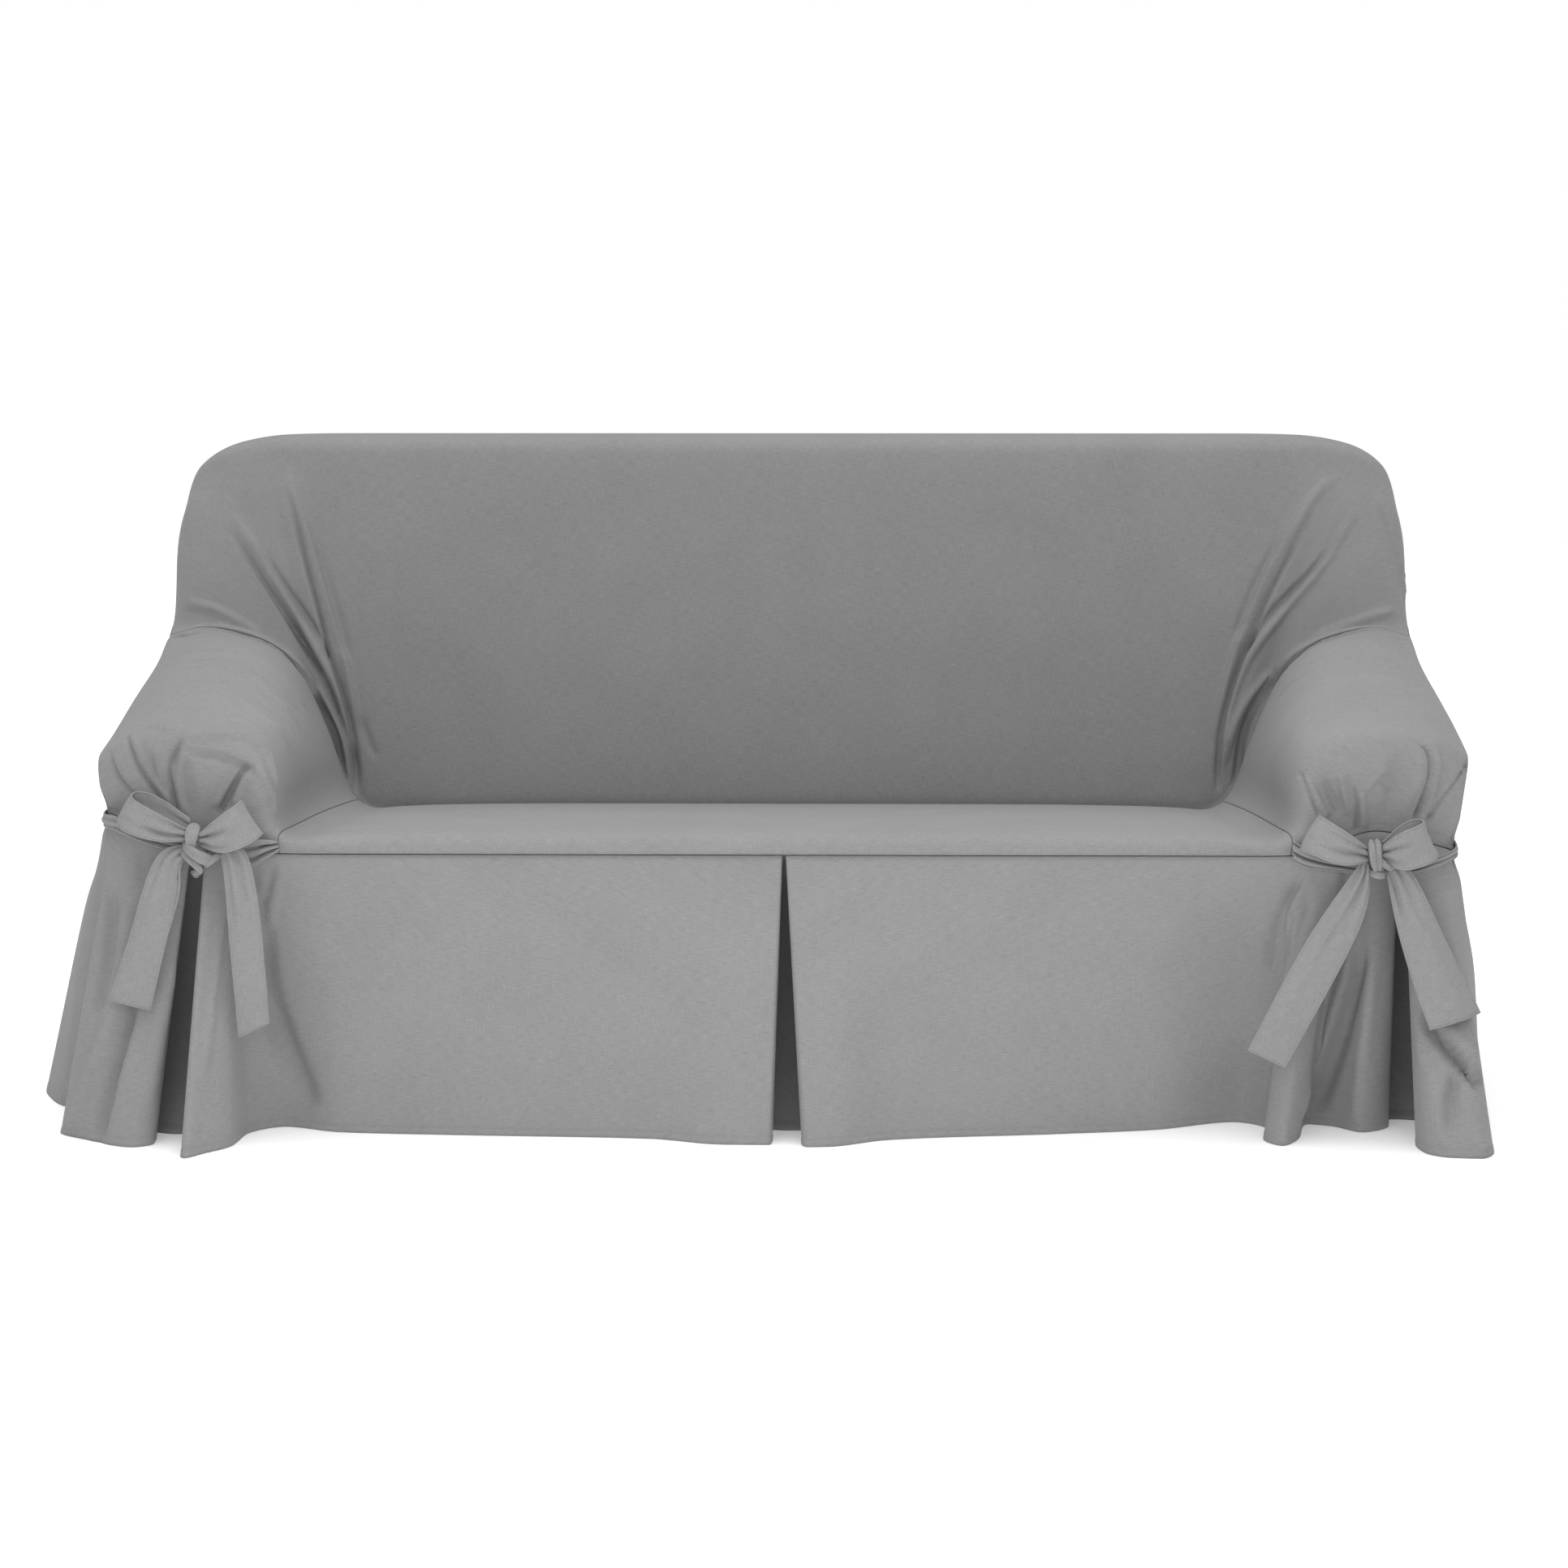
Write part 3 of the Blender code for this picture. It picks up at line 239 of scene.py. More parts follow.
# Smaller creases. Each lies on the cloth that is met first when looking at the part from the front
# (its points are x and height) or from above (x and depth). Those of the inside back leave out the
# cloth in front of it. Then its half width at its start and its end, and how high it stands there.
CREASES = {
    "inside back": (
        # the left half of the inside back: two long folds, each a ridge with a sharp trough at its side
        (((-788, 898), (-762, 840), (-742, 783), (-726, 731), (-710, 678), (-693, 622), (-679, 566),
         (-668, 500)), 11, 10, 6, 9),
        (((-782, 870), (-763, 814), (-749, 758), (-735, 712), (-722, 665), (-707, 609), (-693, 562),
         (-680, 516), (-671, 463), (-666, 403)), 8, 9, -8, -16),
        (((-738, 790), (-720, 730), (-702, 670), (-688, 610)), 14, 20, -3, -6),
        (((-868, 832), (-834, 790), (-802, 740), (-770, 689), (-740, 642), (-715, 598), (-694, 548),
         (-682, 500), (-674, 460)), 12, 9, 7, 9),
        (((-872, 812), (-843, 772), (-808, 722), (-779, 679), (-754, 638), (-729, 599), (-706, 554),
         (-687, 500), (-676, 457), (-672, 400)), 9, 9, -8, -14),
        (((-775, 675), (-755, 643), (-738, 612), (-722, 585)), 9, 8, -6, -7),
        (((-822, 777), (-791, 734), (-756, 687), (-722, 637), (-706, 605)), 10, 11, -5, -10),
        # the roll of cloth over the left arm's seam, and the seam's shade
        (((-955, 658), (-901, 664), (-856, 656), (-803, 636), (-759, 604), (-722, 560), (-692, 504),
         (-683, 450)), 11, 10, 6, 8),
        (((-945, 697), (-896, 691), (-855, 672), (-812, 648)), 12, 10, 5, 3),
        (((-968, 640), (-940, 649), (-900, 650), (-850, 643), (-795, 618), (-754, 583), (-722, 535),
         (-699, 492), (-694, 450), (-688, 405)), 8, 10, -9, -16),
        (((-664, 520), (-653, 488), (-640, 458)), 10, 10, -4, -4),
        # the same on the right half
        (((852, 892), (812, 868), (782, 822), (753, 776), (729, 732), (711, 692), (697, 655), (681, 609),
         (666, 556), (657, 500)), 12, 10, 7, 9),
        (((808, 841), (776, 785), (751, 742), (728, 699), (711, 655), (694, 611), (677, 560), (664, 510),
         (660, 459), (659, 405)), 9, 9, -8, -16),
        (((758, 798), (738, 762), (720, 728), (702, 682), (688, 640)), 12, 16, -3, -6),
        (((874, 842), (848, 800), (816, 751), (782, 711), (746, 671), (714, 631), (693, 589), (675, 539),
         (666, 490), (663, 426)), 12, 9, 7, 8),
        (((846, 796), (814, 758), (774, 717), (738, 682), (712, 648), (700, 620)), 10, 10, -6, -12),
        (((908, 860), (921, 825), (934, 781), (947, 736), (951, 690)), 10, 8, 6, 5),
        (((940, 690), (885, 676), (832, 658), (800, 643)), 11, 10, 5, 3),
        (((952, 652), (904, 661), (858, 656), (811, 641), (766, 616), (731, 585), (700, 550), (678, 501),
         (669, 445)), 11, 10, 6, 8),
        (((966, 608), (950, 635), (905, 647), (860, 643), (815, 630), (775, 607), (740, 576), (713, 540),
         (697, 500), (690, 455), (684, 405)), 8, 10, -9, -16),
    ),
    "above": (
        # arcs over the arm tops
        (((-940, 440), (-885, 415), (-835, 425), (-790, 410), (-747, 395), (-714, 410)), 14, 14, 4, 5),
        (((-935, 380), (-885, 360), (-835, 372), (-785, 352), (-742, 330), (-712, 340)), 14, 14, -3, -4),
        (((-930, 325), (-885, 307), (-838, 325), (-783, 300), (-741, 270), (-710, 280)), 14, 14, 4, 6),
        (((-925, 265), (-880, 245), (-830, 250), (-780, 230), (-737, 200), (-707, 205)), 16, 14, -2, -4),
        (((-920, 213), (-875, 182), (-826, 187), (-773, 165), (-729, 131), (-703, 137)), 16, 14, 3, 5),
        (((-910, 100), (-863, 89), (-807, 87), (-756, 75), (-715, 67)), 16, 14, 2, 3),
        (((900, 460), (863, 480), (815, 490), (770, 485)), 14, 14, 4, 3),
        (((900, 360), (863, 385), (812, 400), (766, 400), (730, 430)), 14, 14, 3, 4),
        (((908, 266), (863, 285), (804, 305), (755, 305), (715, 315)), 16, 16, 2, 3.5),
        (((908, 158), (859, 160), (796, 169), (745, 159), (707, 147)), 18, 18, 1.5, 3),
        # pulls in the seat beside the arms
        (((-670, 10), (-560, 14), (-420, 16)), 5, 6, 1.4, 0.6),
        (((-660, 30), (-540, 40), (-420, 45)), 6, 8, 1.2, 0.6),
        (((670, 10), (560, 16), (440, 18)), 5, 6, 1.4, 0.6),
    ),
    "front": (
        # the left arm's front: sharp pulls towards the knot, then the light edge of the roll
        (((-932, 532), (-926, 513), (-914, 493), (-896, 474), (-872, 456)), 5, 6, -6, -7),
        (((-920, 528), (-913, 508), (-900, 490)), 6, 6, 3, 3),
        (((-912, 558), (-900, 540), (-888, 512), (-870, 484), (-850, 456), (-832, 436)), 5, 6, -7, -9),
        (((-902, 558), (-889, 535), (-877, 510), (-860, 484), (-842, 458)), 8, 7, 4, 5),
        (((-828, 556), (-838, 532), (-845, 510), (-845, 484), (-839, 456), (-829, 434)), 5, 6, -7, -10),
        (((-818, 552), (-829, 525), (-834, 498), (-832, 470), (-822, 446)), 7, 7, 4, 5),
        (((-862, 540), (-861, 512), (-856, 486)), 9, 7, 3, 3),
        (((-736, 518), (-747, 505), (-757, 489), (-767, 470), (-780, 448)), 5, 7, -6, -11),
        (((-730, 512), (-742, 499), (-750, 480), (-758, 458)), 6, 7, 4, 6),
        (((-762, 500), (-772, 480), (-785, 458)), 8, 8, 3, 4),
        (((-905, 556), (-894, 562), (-867, 566), (-841, 563)), 8, 8, 5, 5),
        (((-834, 549), (-795, 557), (-758, 556), (-724, 541), (-705, 511), (-697, 472)), 9, 10, 6, 8),
        (((-827, 534), (-778, 529), (-752, 518), (-728, 504)), 10, 12, -6, -8),
        (((-724, 514), (-708, 476), (-700, 440)), 10, 10, 4, 5),
        # the right arm's front
        (((866, 548), (880, 541), (885, 524), (884, 502), (878, 481), (871, 459),
         (862, 438)), 5, 6, -7, -10),
        (((882, 552), (893, 540), (895, 513), (891, 486), (882, 459)), 7, 7, 4, 6),
        (((866, 530), (871, 505), (865, 478)), 9, 8, 3, 3),
        (((942, 524), (930, 501), (911, 480), (894, 459), (878, 437)), 5, 7, -7, -10),
        (((940, 510), (920, 489), (902, 468), (888, 448)), 7, 8, 4, 5),
        (((780, 492), (783, 476), (785, 454), (785, 425)), 4, 6, -5, -9),
        (((789, 484), (793, 462), (796, 430)), 6, 7, 4, 5),
        (((790, 484), (803, 492), (811, 506), (824, 516)), 6, 8, 4, 3),
        (((815, 498), (822, 488), (832, 480)), 8, 8, -3, -3),
        (((706, 508), (713, 498), (724, 470), (736, 446)), 6, 7, -4, -6),
        (((714, 504), (723, 489), (734, 465), (746, 446)), 6, 7, 4, 5),
        (((757, 508), (763, 498), (768, 476), (774, 450)), 6, 7, 4, 5),
        (((766, 508), (774, 488), (779, 466)), 5, 5, -3, -4),
        (((740, 500), (750, 475), (760, 450)), 8, 8, -3, -4),
        # the skirt below the left arm
        (((-918, 200), (-928, 160), (-948, 115), (-974, 56), (-996, 6)), 14, 16, 10, 14),
        (((-890, 230), (-904, 165), (-922, 110), (-936, 54), (-948, 2)), 20, 24, -20, -18),
        (((-896, 190), (-908, 150), (-924, 104), (-936, 60)), 8, 8, -6, -5),
        (((-840, 250), (-852, 190), (-864, 110), (-876, 40)), 14, 16, 7, 8),
        (((-930, 340), (-930, 290), (-938, 226), (-952, 165)), 20, 16, -14, -10),
        (((-892, 405), (-886, 380), (-885, 350)), 12, 14, -5, -4),
        (((-900, 330), (-905, 280), (-912, 230)), 14, 16, 5, 4),
        (((-766, 340), (-776, 270), (-784, 180), (-790, 90)), 9, 12, 4, 5),
        (((-722, 300), (-722, 204), (-704, 144), (-684, 84), (-656, 30)), 20, 30, -17, -15),
        (((-735, 372), (-729, 350), (-724, 319), (-720, 290)), 6, 7, -7, -5),
        (((-706, 372), (-712, 345), (-721, 315)), 6, 6, -4, -5),
        (((-694, 375), (-698, 355), (-709, 320), (-714, 281)), 8, 10, 4, 4),
        # and below the right arm
        (((716, 372), (706, 352), (692, 320), (682, 280), (680, 220), (672, 100)), 7, 12, -7, -8),
        (((718, 352), (706, 330), (696, 300), (692, 250), (690, 180)), 8, 10, 6, 6),
        (((724, 330), (712, 300), (702, 264)), 10, 10, -7, -4),
        (((712, 362), (731, 355), (750, 352), (775, 350)), 8, 8, 5, 3),
        (((788, 290), (782, 230), (764, 160), (742, 90), (716, 30)), 16, 16, 11, 10),
        (((802, 260), (790, 200), (776, 128), (760, 65), (746, 20)), 16, 20, -15, -20),
        (((816, 260), (808, 166), (800, 82), (796, 10)), 14, 14, 4, 4),
        (((860, 200), (877, 172), (896, 150), (914, 128), (934, 106), (954, 88)), 14, 15, -17, -24),
        (((872, 172), (896, 148), (914, 126), (934, 102)), 7, 7, -5, -6),
        (((915, 110), (905, 80), (902, 58), (902, 30)), 15, 14, -18, -10),
        (((862, 150), (877, 107), (884, 71), (890, 20)), 12, 12, 4, 5),
        (((905, 172), (924, 150), (944, 130)), 12, 12, 6, 8),
        (((918, 82), (934, 45), (948, 6)), 14, 16, 6, 8),
    ),
}
# How each group of creases is looked at: the two axes across the view, the axis into it, and whether
# the nearest cloth has the lowest (1) or the highest (-1) place on that axis.
SIDES = {"front": (0, 2, 1, 1), "inside back": (0, 2, 1, 1), "above": (0, 1, 2, -1)}
BEHIND_ARMS = 0.540      # cloth on the inside back lies deeper than this
CATCH = 0.012            # a crease's point lies on the nearest cloth within this distance
LAYER = 0.020            # cloth within this depth of the nearest counts as the same layer
LINE_STEPS = 8           # points on a crease's line for each of its marks
CREASE_FADE = (0.22, 0.14)  # the shares of a crease over which it grows and dies away
TURNED_AWAY = 4.0        # how soon a crease dies on cloth that turns away from its side

HEM = 0.010              # the hem is this high, with one row of stitches along its top
HEM_ROWS = np.array([0.016, 0.0125, HEM, 0.0078, 0.004, 0.0])  # heights of the lowest rows of points
HEM_STITCHES = 3         # the row of points at the hem's top, counted up from the floor
HEM_SWELL = (0.0020, 0.0005)    # the cloth thickens over this height below the top, by this much
HEM_GROOVE = (0.0022, 0.0008)   # half width and depth of the groove that its stitches draw
WAIST_STITCHES = 5       # the row of points with the stitches above the waist seam, from the seam up
WAIST_GROOVE = (0.0024, 0.0007)  # half width and depth of the groove that those draw

# ---------------------------------------------------------------- ties
# Each piece of a tie along its length: a point on its first edge and on its second edge, its
# thickness with the folds that the knot draws it into, and how far its middle bows out of flat.
LEFT_BOW = {
    "outer_run": (
        ((-945, 60, 446), (-949, 62, 431), 3, 1),
        ((-943, 28, 446), (-946.5, 30, 430), 3, 1),
        ((-934.5, -14, 448), (-937, -14, 430), 3, 2),
        ((-916, -26, 447), (-916, -26, 426), 5, 2),
        ((-894, -28, 439), (-894, -28, 416), 8, 2),
        ((-860, -30, 427), (-860, -30, 403), 8, 2),
        ((-817, -38, 417), (-817, -38, 397), 10, 2),
    ),
    "inner_run": (
        ((-786, -36, 411), (-786, -36, 389), 10, 2),
        ((-756, -30, 410), (-756, -30, 384), 10, 2),
        ((-735, -27, 414), (-731, -27, 374), 10, 2),
        ((-714, -24, 415), (-712, -24, 388), 14, 4),
        ((-696, -20, 412), (-694, -20, 399), 12, 2),
    ),
    "outer_loop": (
        ((-811, -60, 434), (-815, -60, 416), 7, 1),
        ((-840, -74, 453), (-856, -74, 418), 4, 3),
        ((-881, -72, 475), (-899, -70, 431), 3, 3),
        ((-889, -57, 480), (-912, -55, 443), 3, 2),
        ((-885, -38, 485), (-901, -36, 440), 3, 2),
        ((-856, -38, 478), (-856, -40, 428), 4, 2),
        ((-810, -46, 446), (-813, -46, 420), 7, 1),
    ),
    "inner_loop": (
        ((-794, -62, 430), (-795, -62, 410), 7, 1),
        ((-772, -75, 449), (-760, -75, 400), 4, 3),
        ((-743, -75, 470), (-718, -73, 418), 3, 3),
        ((-736, -58, 475), (-707, -56, 430), 3, 2),
        ((-743, -43, 468), (-718, -43, 420), 3, 2),
        ((-768, -42, 446), (-758, -44, 407), 4, 2),
        ((-794, -50, 427), (-794, -50, 411), 7, 1),
    ),
    "outer_tail": (
        ((-818, -54, 412), (-812, -54, 397), 7, 1),
        ((-848, -64, 408), (-823, -66, 384), 5, 4),
        ((-868, -67, 372), (-821, -67, 350), 3, 4),
        ((-891, -70, 292), (-841, -70, 286), 3, 3),
        ((-923, -74, 199), (-865, -74, 185), 3, 3),
    ),
    "inner_tail": (
        ((-788, -53, 394), (-782, -53, 409), 7, 1),
        ((-769, -57, 402), (-740, -57, 414), 4, 2),
        ((-764, -63, 382), (-727, -63, 394), 3, 3),
        ((-760, -68, 345), (-718, -68, 354), 3, 4),
        ((-756, -75, 288), (-710, -75, 292), 3, 3),
        ((-743, -88, 150), (-700, -88, 171), 3, 3),
    ),
}
RIGHT_BOW = {
    "outer_run": (
        ((924, 58, 412), (924.4, 60, 397), 3, 1),
        ((926.8, 22, 411), (927.2, 24, 396), 3, 1),
        ((922.5, -17, 408), (922.5, -18, 393), 3, 2),
        ((906, -28, 400), (906, -28, 386), 6, 2),
        ((882, -30, 392), (882, -30, 377), 8, 2),
        ((860, -32, 386), (860, -32, 370), 9, 2),
        ((820, -38, 388), (820, -38, 371), 10, 2),
    ),
    "inner_run": (
        ((793, -37, 389), (793, -37, 371), 10, 2),
        ((770, -30, 390), (770, -30, 373), 10, 2),
        ((740, -26, 394), (740, -26, 376), 10, 2),
        ((711, -23, 407), (712, -23, 379), 13, 3),
        ((696, -20, 417), (699, -20, 386), 12, 2),
    ),
    "outer_loop": (
        ((812, -60, 415), (814, -60, 391), 7, 1),
        ((833, -74, 435), (841, -74, 380), 4, 3),
        ((861, -72, 446), (882, -70, 394), 3, 3),
        ((869, -56, 449), (891, -54, 403), 3, 2),
        ((860, -41, 451), (882, -40, 399), 3, 2),
        ((840, -41, 443), (850, -43, 391), 4, 2),
        ((813, -50, 419), (816, -50, 395), 7, 1),
    ),
    "inner_loop": (
        ((793, -60, 412), (792, -60, 391), 7, 1),
        ((766, -74, 433), (756, -74, 388), 4, 3),
        ((734, -72, 453), (711, -70, 405), 3, 3),
        ((725, -56, 457), (699, -54, 410), 3, 2),
        ((734, -42, 451), (711, -41, 407), 3, 2),
        ((764, -43, 430), (754, -43, 398), 4, 2),
        ((792, -50, 410), (792, -50, 394), 7, 1),
    ),
    "outer_tail": (
        ((817, -50, 382), (828, -50, 395), 7, 1),
        ((820, -58, 372), (848, -56, 389), 4, 3),
        ((825, -65, 338), (868, -62, 354), 3, 4),
        ((835, -74, 291), (889, -67, 308), 3, 7),
        ((855, -84, 225), (918, -66, 250), 3, 13),
        ((876, -96, 168), (950, -64, 186), 3, 18),
    ),
    "inner_tail": (
        ((788, -56, 397), (796, -56, 387), 7, 1),
        ((772, -62, 377), (797, -62, 356), 5, 4),
        ((743, -66, 337), (789, -66, 315), 3, 4),
        ((703, -71, 276), (760, -71, 252), 3, 4),
        ((632, -80, 136), (684, -80, 112), 3, 3),
    ),
}
# Each knot: the middle and the half sizes of its core, then the wraps that lie over it, as rows of
# (x, depth, height, half width, half thickness).
LEFT_KNOT = (
    ((-800, -50, 408), (15, 10, 17)),
    (
        ((-803, -48, 440, 7.5, 3.5), (-804.5, -59, 433, 10, 4.5), (-806, -68, 422, 9, 5.5),
         (-806, -67, 412, 6.2, 5), (-804, -58, 401, 5, 4)),
        ((-822, -52, 409, 3.5, 3), (-819.5, -62, 403.5, 4.6, 4.5), (-806.5, -69, 391.5, 5, 4.8),
         (-796, -68, 382, 5, 4.5), (-794.5, -64, 376, 4.4, 4), (-803, -59, 373.5, 3.8, 3.4),
         (-810, -52, 373.5, 3, 2.8)),
        ((-818, -52, 415, 5, 3.5), (-812, -69, 410, 6.4, 5), (-799, -77, 401.5, 7.6, 5.6),
         (-786.5, -71, 394, 9, 5), (-780, -56, 390, 8, 3.6)),
        ((-792, -56, 383, 3.5, 3), (-785, -66, 388, 5.6, 4.2), (-774.5, -64, 395.5, 5, 4),
         (-765, -52, 399, 3.4, 3)),
        ((-808, -52, 376, 2.4, 2), (-804, -56, 368, 2.6, 2.2), (-798.5, -52, 369, 2, 1.8)),
    ),
)
RIGHT_KNOT = (
    ((806, -50, 395), (12, 10, 18)),
    (
        ((806, -48, 423, 3, 2.8), (805.5, -63, 416, 4.6, 4.5), (805, -70, 405, 4.6, 5),
         (806, -70, 394.5, 4.4, 4.8), (808, -63, 384, 4, 4.2), (810, -54, 377, 3.2, 3.2)),
        ((798, -48, 422, 3, 2.8), (796.6, -65, 415.5, 4.4, 4.6), (796.8, -73, 405, 4.6, 5),
         (798.5, -73, 395, 4.4, 5), (802, -67, 385, 3.6, 4.2), (805, -56, 378, 2.8, 3)),
        ((808, -56, 401, 2.8, 2.8), (812, -69, 392.5, 3.8, 4), (819, -70, 386, 3.8, 4),
         (829, -62, 383.5, 2.8, 2.8)),
        ((794, -50, 379, 3.2, 2.8), (800, -62, 376.5, 5, 4.2), (810.5, -64, 374.5, 5.6, 4.5),
         (819, -52, 375, 4, 3.2)),
    ),
)
RING = 40                # points round a core or a wrap
CORE_RINGS = 30          # rings from pole to pole of a core
POLE = 0.02              # angle from a pole to the ring nearest it
WRAP_STEPS = 10          # rings from each row of a wrap to the next
WRAP_FOLDS = (0.0007, 5.0)  # height and number of the small folds along a wrap
FOLD_SWAY = (2.0, 3.0)   # how far they sway along it, and how often
WRAP_SQUARE = 0.8        # under 1, a wrap is squarer than an ellipse
WRAP_END = (8, 0.03)     # how suddenly a wrap thins near its ends, and the square of what is left there
WRAP_TURN = (0.0, 0.03)  # places across the cloth where the way round a wrap starts and ends

STRAP = 0.0026           # thickness of a tie: two layers of cloth sewn together
# Distances in from a strap's edge, and the share of its thickness there: the edge is rounded and
# the row of stitches lies in a groove.
STRAP_RIM = (0.0, 0.0006, 0.0014, 0.0020, 0.0030, 0.0040, 0.0050)
STRAP_FULL = (0.25, 0.80, 1.00, 0.95, 0.36, 0.95, 1.00)
STITCH_COLUMN = 4        # the place of the stitches in STRAP_RIM
STRAP_COLUMNS = 14       # faces across a strap between its two rims
STRAP_STEP = 0.003       # length of a strap's faces
STRAP_FACES = 4          # at least this many faces from each row of its table to the next
TAIL_GAP = 0.01          # a tail's plain faces end at least this share of a row before its rim
TAIL_STITCHES = 3        # the stitches cross a tail on this row of points, counted from its end
GATHERS = 2.6            # folds across a strap where the knot draws it together
GATHER_SHAPE = (0.4, 0.8)  # how soon they die towards the edges, and where across they start
CREASE_POINTS = 9        # points along each crease of a strap
STRAP_FADE = (0.3, 0.5)  # the shares of a strap's crease over which it grows and dies away
# Creases that run out from the knot on every strap: their place across it at the knot and at their
# far end, how much of the strap's length they take, their half width and how high they stand.
STRAP_CREASES = (
    (0.24, 0.18, 0.46, 5, -2.4),
    (0.40, 0.38, 0.30, 4, 1.8),
    (0.58, 0.66, 0.52, 5.5, -2.7),
    (0.80, 0.86, 0.34, 4, 1.5),
)
# Longer soft folds on single straps: their place across and along it at the start and at the end,
# their half width and how high they stand.
STRAP_FOLDS = {
    "outer_tail_left": ((0.80, 0.02, 0.93, 0.50, 8, -5.3), (0.35, 0.30, 0.30, 0.85, 16, 2.3)),
    "inner_tail_left": ((0.30, 0.02, 0.42, 0.60, 10, 3.3), (0.75, 0.35, 0.60, 0.95, 16, -2.3)),
    "outer_tail_right": ((0.22, 0.05, 0.28, 0.40, 7, -4.5), (0.55, 0.30, 0.62, 0.95, 14, 3)),
    "inner_tail_right": ((0.55, 0.05, 0.42, 0.55, 8, -4.5), (0.30, 0.30, 0.35, 0.95, 16, 2.3)),
    "outer_loop_left": ((0.72, 0.02, 0.55, 0.34, 7, -3.9), (0.35, 0.04, 0.25, 0.30, 6, 2.4)),
    "inner_loop_left": ((0.65, 0.04, 0.50, 0.26, 8, -4.2),),
    "outer_loop_right": ((0.50, 0.04, 0.45, 0.30, 7, -3.6),),
    "inner_loop_right": ((0.40, 0.02, 0.55, 0.34, 8, -3.9), (0.75, 0.04, 0.80, 0.30, 6, 2.1)),
    "outer_run_left": ((0.45, 0.02, 0.55, 0.95, 5, -1.8),),
    "outer_run_right": ((0.50, 0.02, 0.50, 0.95, 4, -1.5),),
    "inner_run_left": ((0.30, 0.05, 0.50, 0.90, 6, -3),),
    "inner_run_right": ((0.60, 0.05, 0.40, 0.90, 5, -3),),
}
STITCH = (0.0028, 0.0007, 0.0005)  # length, width and height of a stitch
STITCH_PITCH = 0.0040    # from one stitch to the next
STITCH_PROUD = 0.3       # share of its half height by which a stitch's middle stands off the cloth
STITCH_AIM = 0.001       # a stitch points at the place on its row that lies this much further on


# ---------------------------------------------------------------- curves
def metres(table):
    """Numbers given in millimetres, in metres."""
    return np.array(table) / MM


def unit(vectors):
    """The same directions, each of length one."""
    return vectors / np.linalg.norm(vectors, axis=-1, keepdims=True)


def run(points):
    """How far along the line through the points each of them lies."""
    return np.concatenate([[0.0], np.linalg.norm(np.diff(points, axis=0), axis=1).cumsum()])


def hump(reach):
    """1 at the middle of a fold, down to 0 where reach is 1 and beyond."""
    return np.cos(0.5 * np.pi * np.clip(reach, 0.0, 1.0)) ** 2


def growth(share):
    """From 0 up to 1 where share is 1, and no further."""
    return np.sin(0.5 * np.pi * np.clip(share, 0.0, 1.0))


def quads(grid):
    """The four corners of each face in a grid of points."""
    corners = (grid[:-1, :-1], grid[:-1, 1:], grid[1:, 1:], grid[1:, :-1])
    return np.stack(corners, axis=2).reshape(-1, 4, *grid.shape[2:])


def spline_weights(places, count):
    """Weights of a quadratic B-spline that starts and ends on its first and last of count points."""
    places = np.asarray(places, float)
    nearest = np.clip(np.round(places).astype(int), 0, count - 1)
    share = places - nearest
    # one column more at each end, for the point beyond the last that makes the curve end there
    weights = np.zeros((len(places), count + 2))
    rows = np.arange(len(places))
    weights[rows, nearest] += 0.5 * (0.5 - share) ** 2
    weights[rows, nearest + 1] += 0.75 - share ** 2
    weights[rows, nearest + 2] += 0.5 * (0.5 + share) ** 2
    inner = weights[:, 1:-1].copy()
    for ghost, first, second in ((weights[:, 0], 0, 1), (weights[:, -1], -1, -2)):
        inner[:, first] += 2.0 * ghost
        inner[:, second] -= ghost
    return inner


def stepped(steps):
    """Places from 0 to the number of spans, each span cut into its own number of steps."""
    places = [span + part / step for span, step in enumerate(steps) for part in range(step)]
    return np.array(places + [float(len(steps))])


def eased(knots, values, places):
    """A smooth curve through values that never swings past them."""
    width = np.diff(knots)[:, None]
    rise = np.diff(values, axis=0) / width
    slope = np.zeros_like(values)
    agree = rise[:-1] * rise[1:] > 0
    before = 2 * width[1:] + width[:-1]
    after = width[1:] + 2 * width[:-1]
    with np.errstate(divide="ignore", invalid="ignore"):
        mean = (before + after) / (before / rise[:-1] + after / rise[1:])
    slope[1:-1] = np.where(agree, mean, 0.0)
    slope[0] = rise[0]
    slope[-1] = rise[-1]
    span = np.clip(np.searchsorted(knots, places, side="right") - 1, 0, len(knots) - 2)
    t = ((places - knots[span]) / width[span, 0])[:, None]
    size = width[span]
    return ((2 * t ** 3 - 3 * t ** 2 + 1) * values[span] + (t ** 3 - 2 * t ** 2 + t) * size * slope[span]
            + (3 * t ** 2 - 2 * t ** 3) * values[span + 1] + (t ** 3 - t ** 2) * size * slope[span + 1])


# ---------------------------------------------------------------- the draped sheet
def section_net():
    """Control points of the sheet over seat, arms and back: sections by columns."""
    net = []
    for (_, middle, crease, wall), (_, inner_top, outer_top, edge) in zip(SEAT_AND_BACK, ARMS):
        right = [(0, *middle), (crease[0] - FLANK, *middle), crease, wall, inner_top, outer_top, edge]
        left = [(-x, depth, height) for x, depth, height in right[:0:-1]]
        net.append(left + right)
    net = metres(net)
    net[:, -2:, 0] -= RIGHT_TUCK
    net[0, -len(RIGHT_WAIST):] = metres(RIGHT_WAIST)
    net[1:1 + len(RIGHT_EDGE), -1] = metres(RIGHT_EDGE)
    return net


def drape(section_places, column_places):
    """The sheet's points over seat, arms and back, one row for each section place."""
    net = section_net()
    across = spline_weights(column_places, net.shape[1])
    along = spline_weights(section_places, net.shape[0])
    return np.einsum("ij,jkc,lk->ilc", along, net, across)


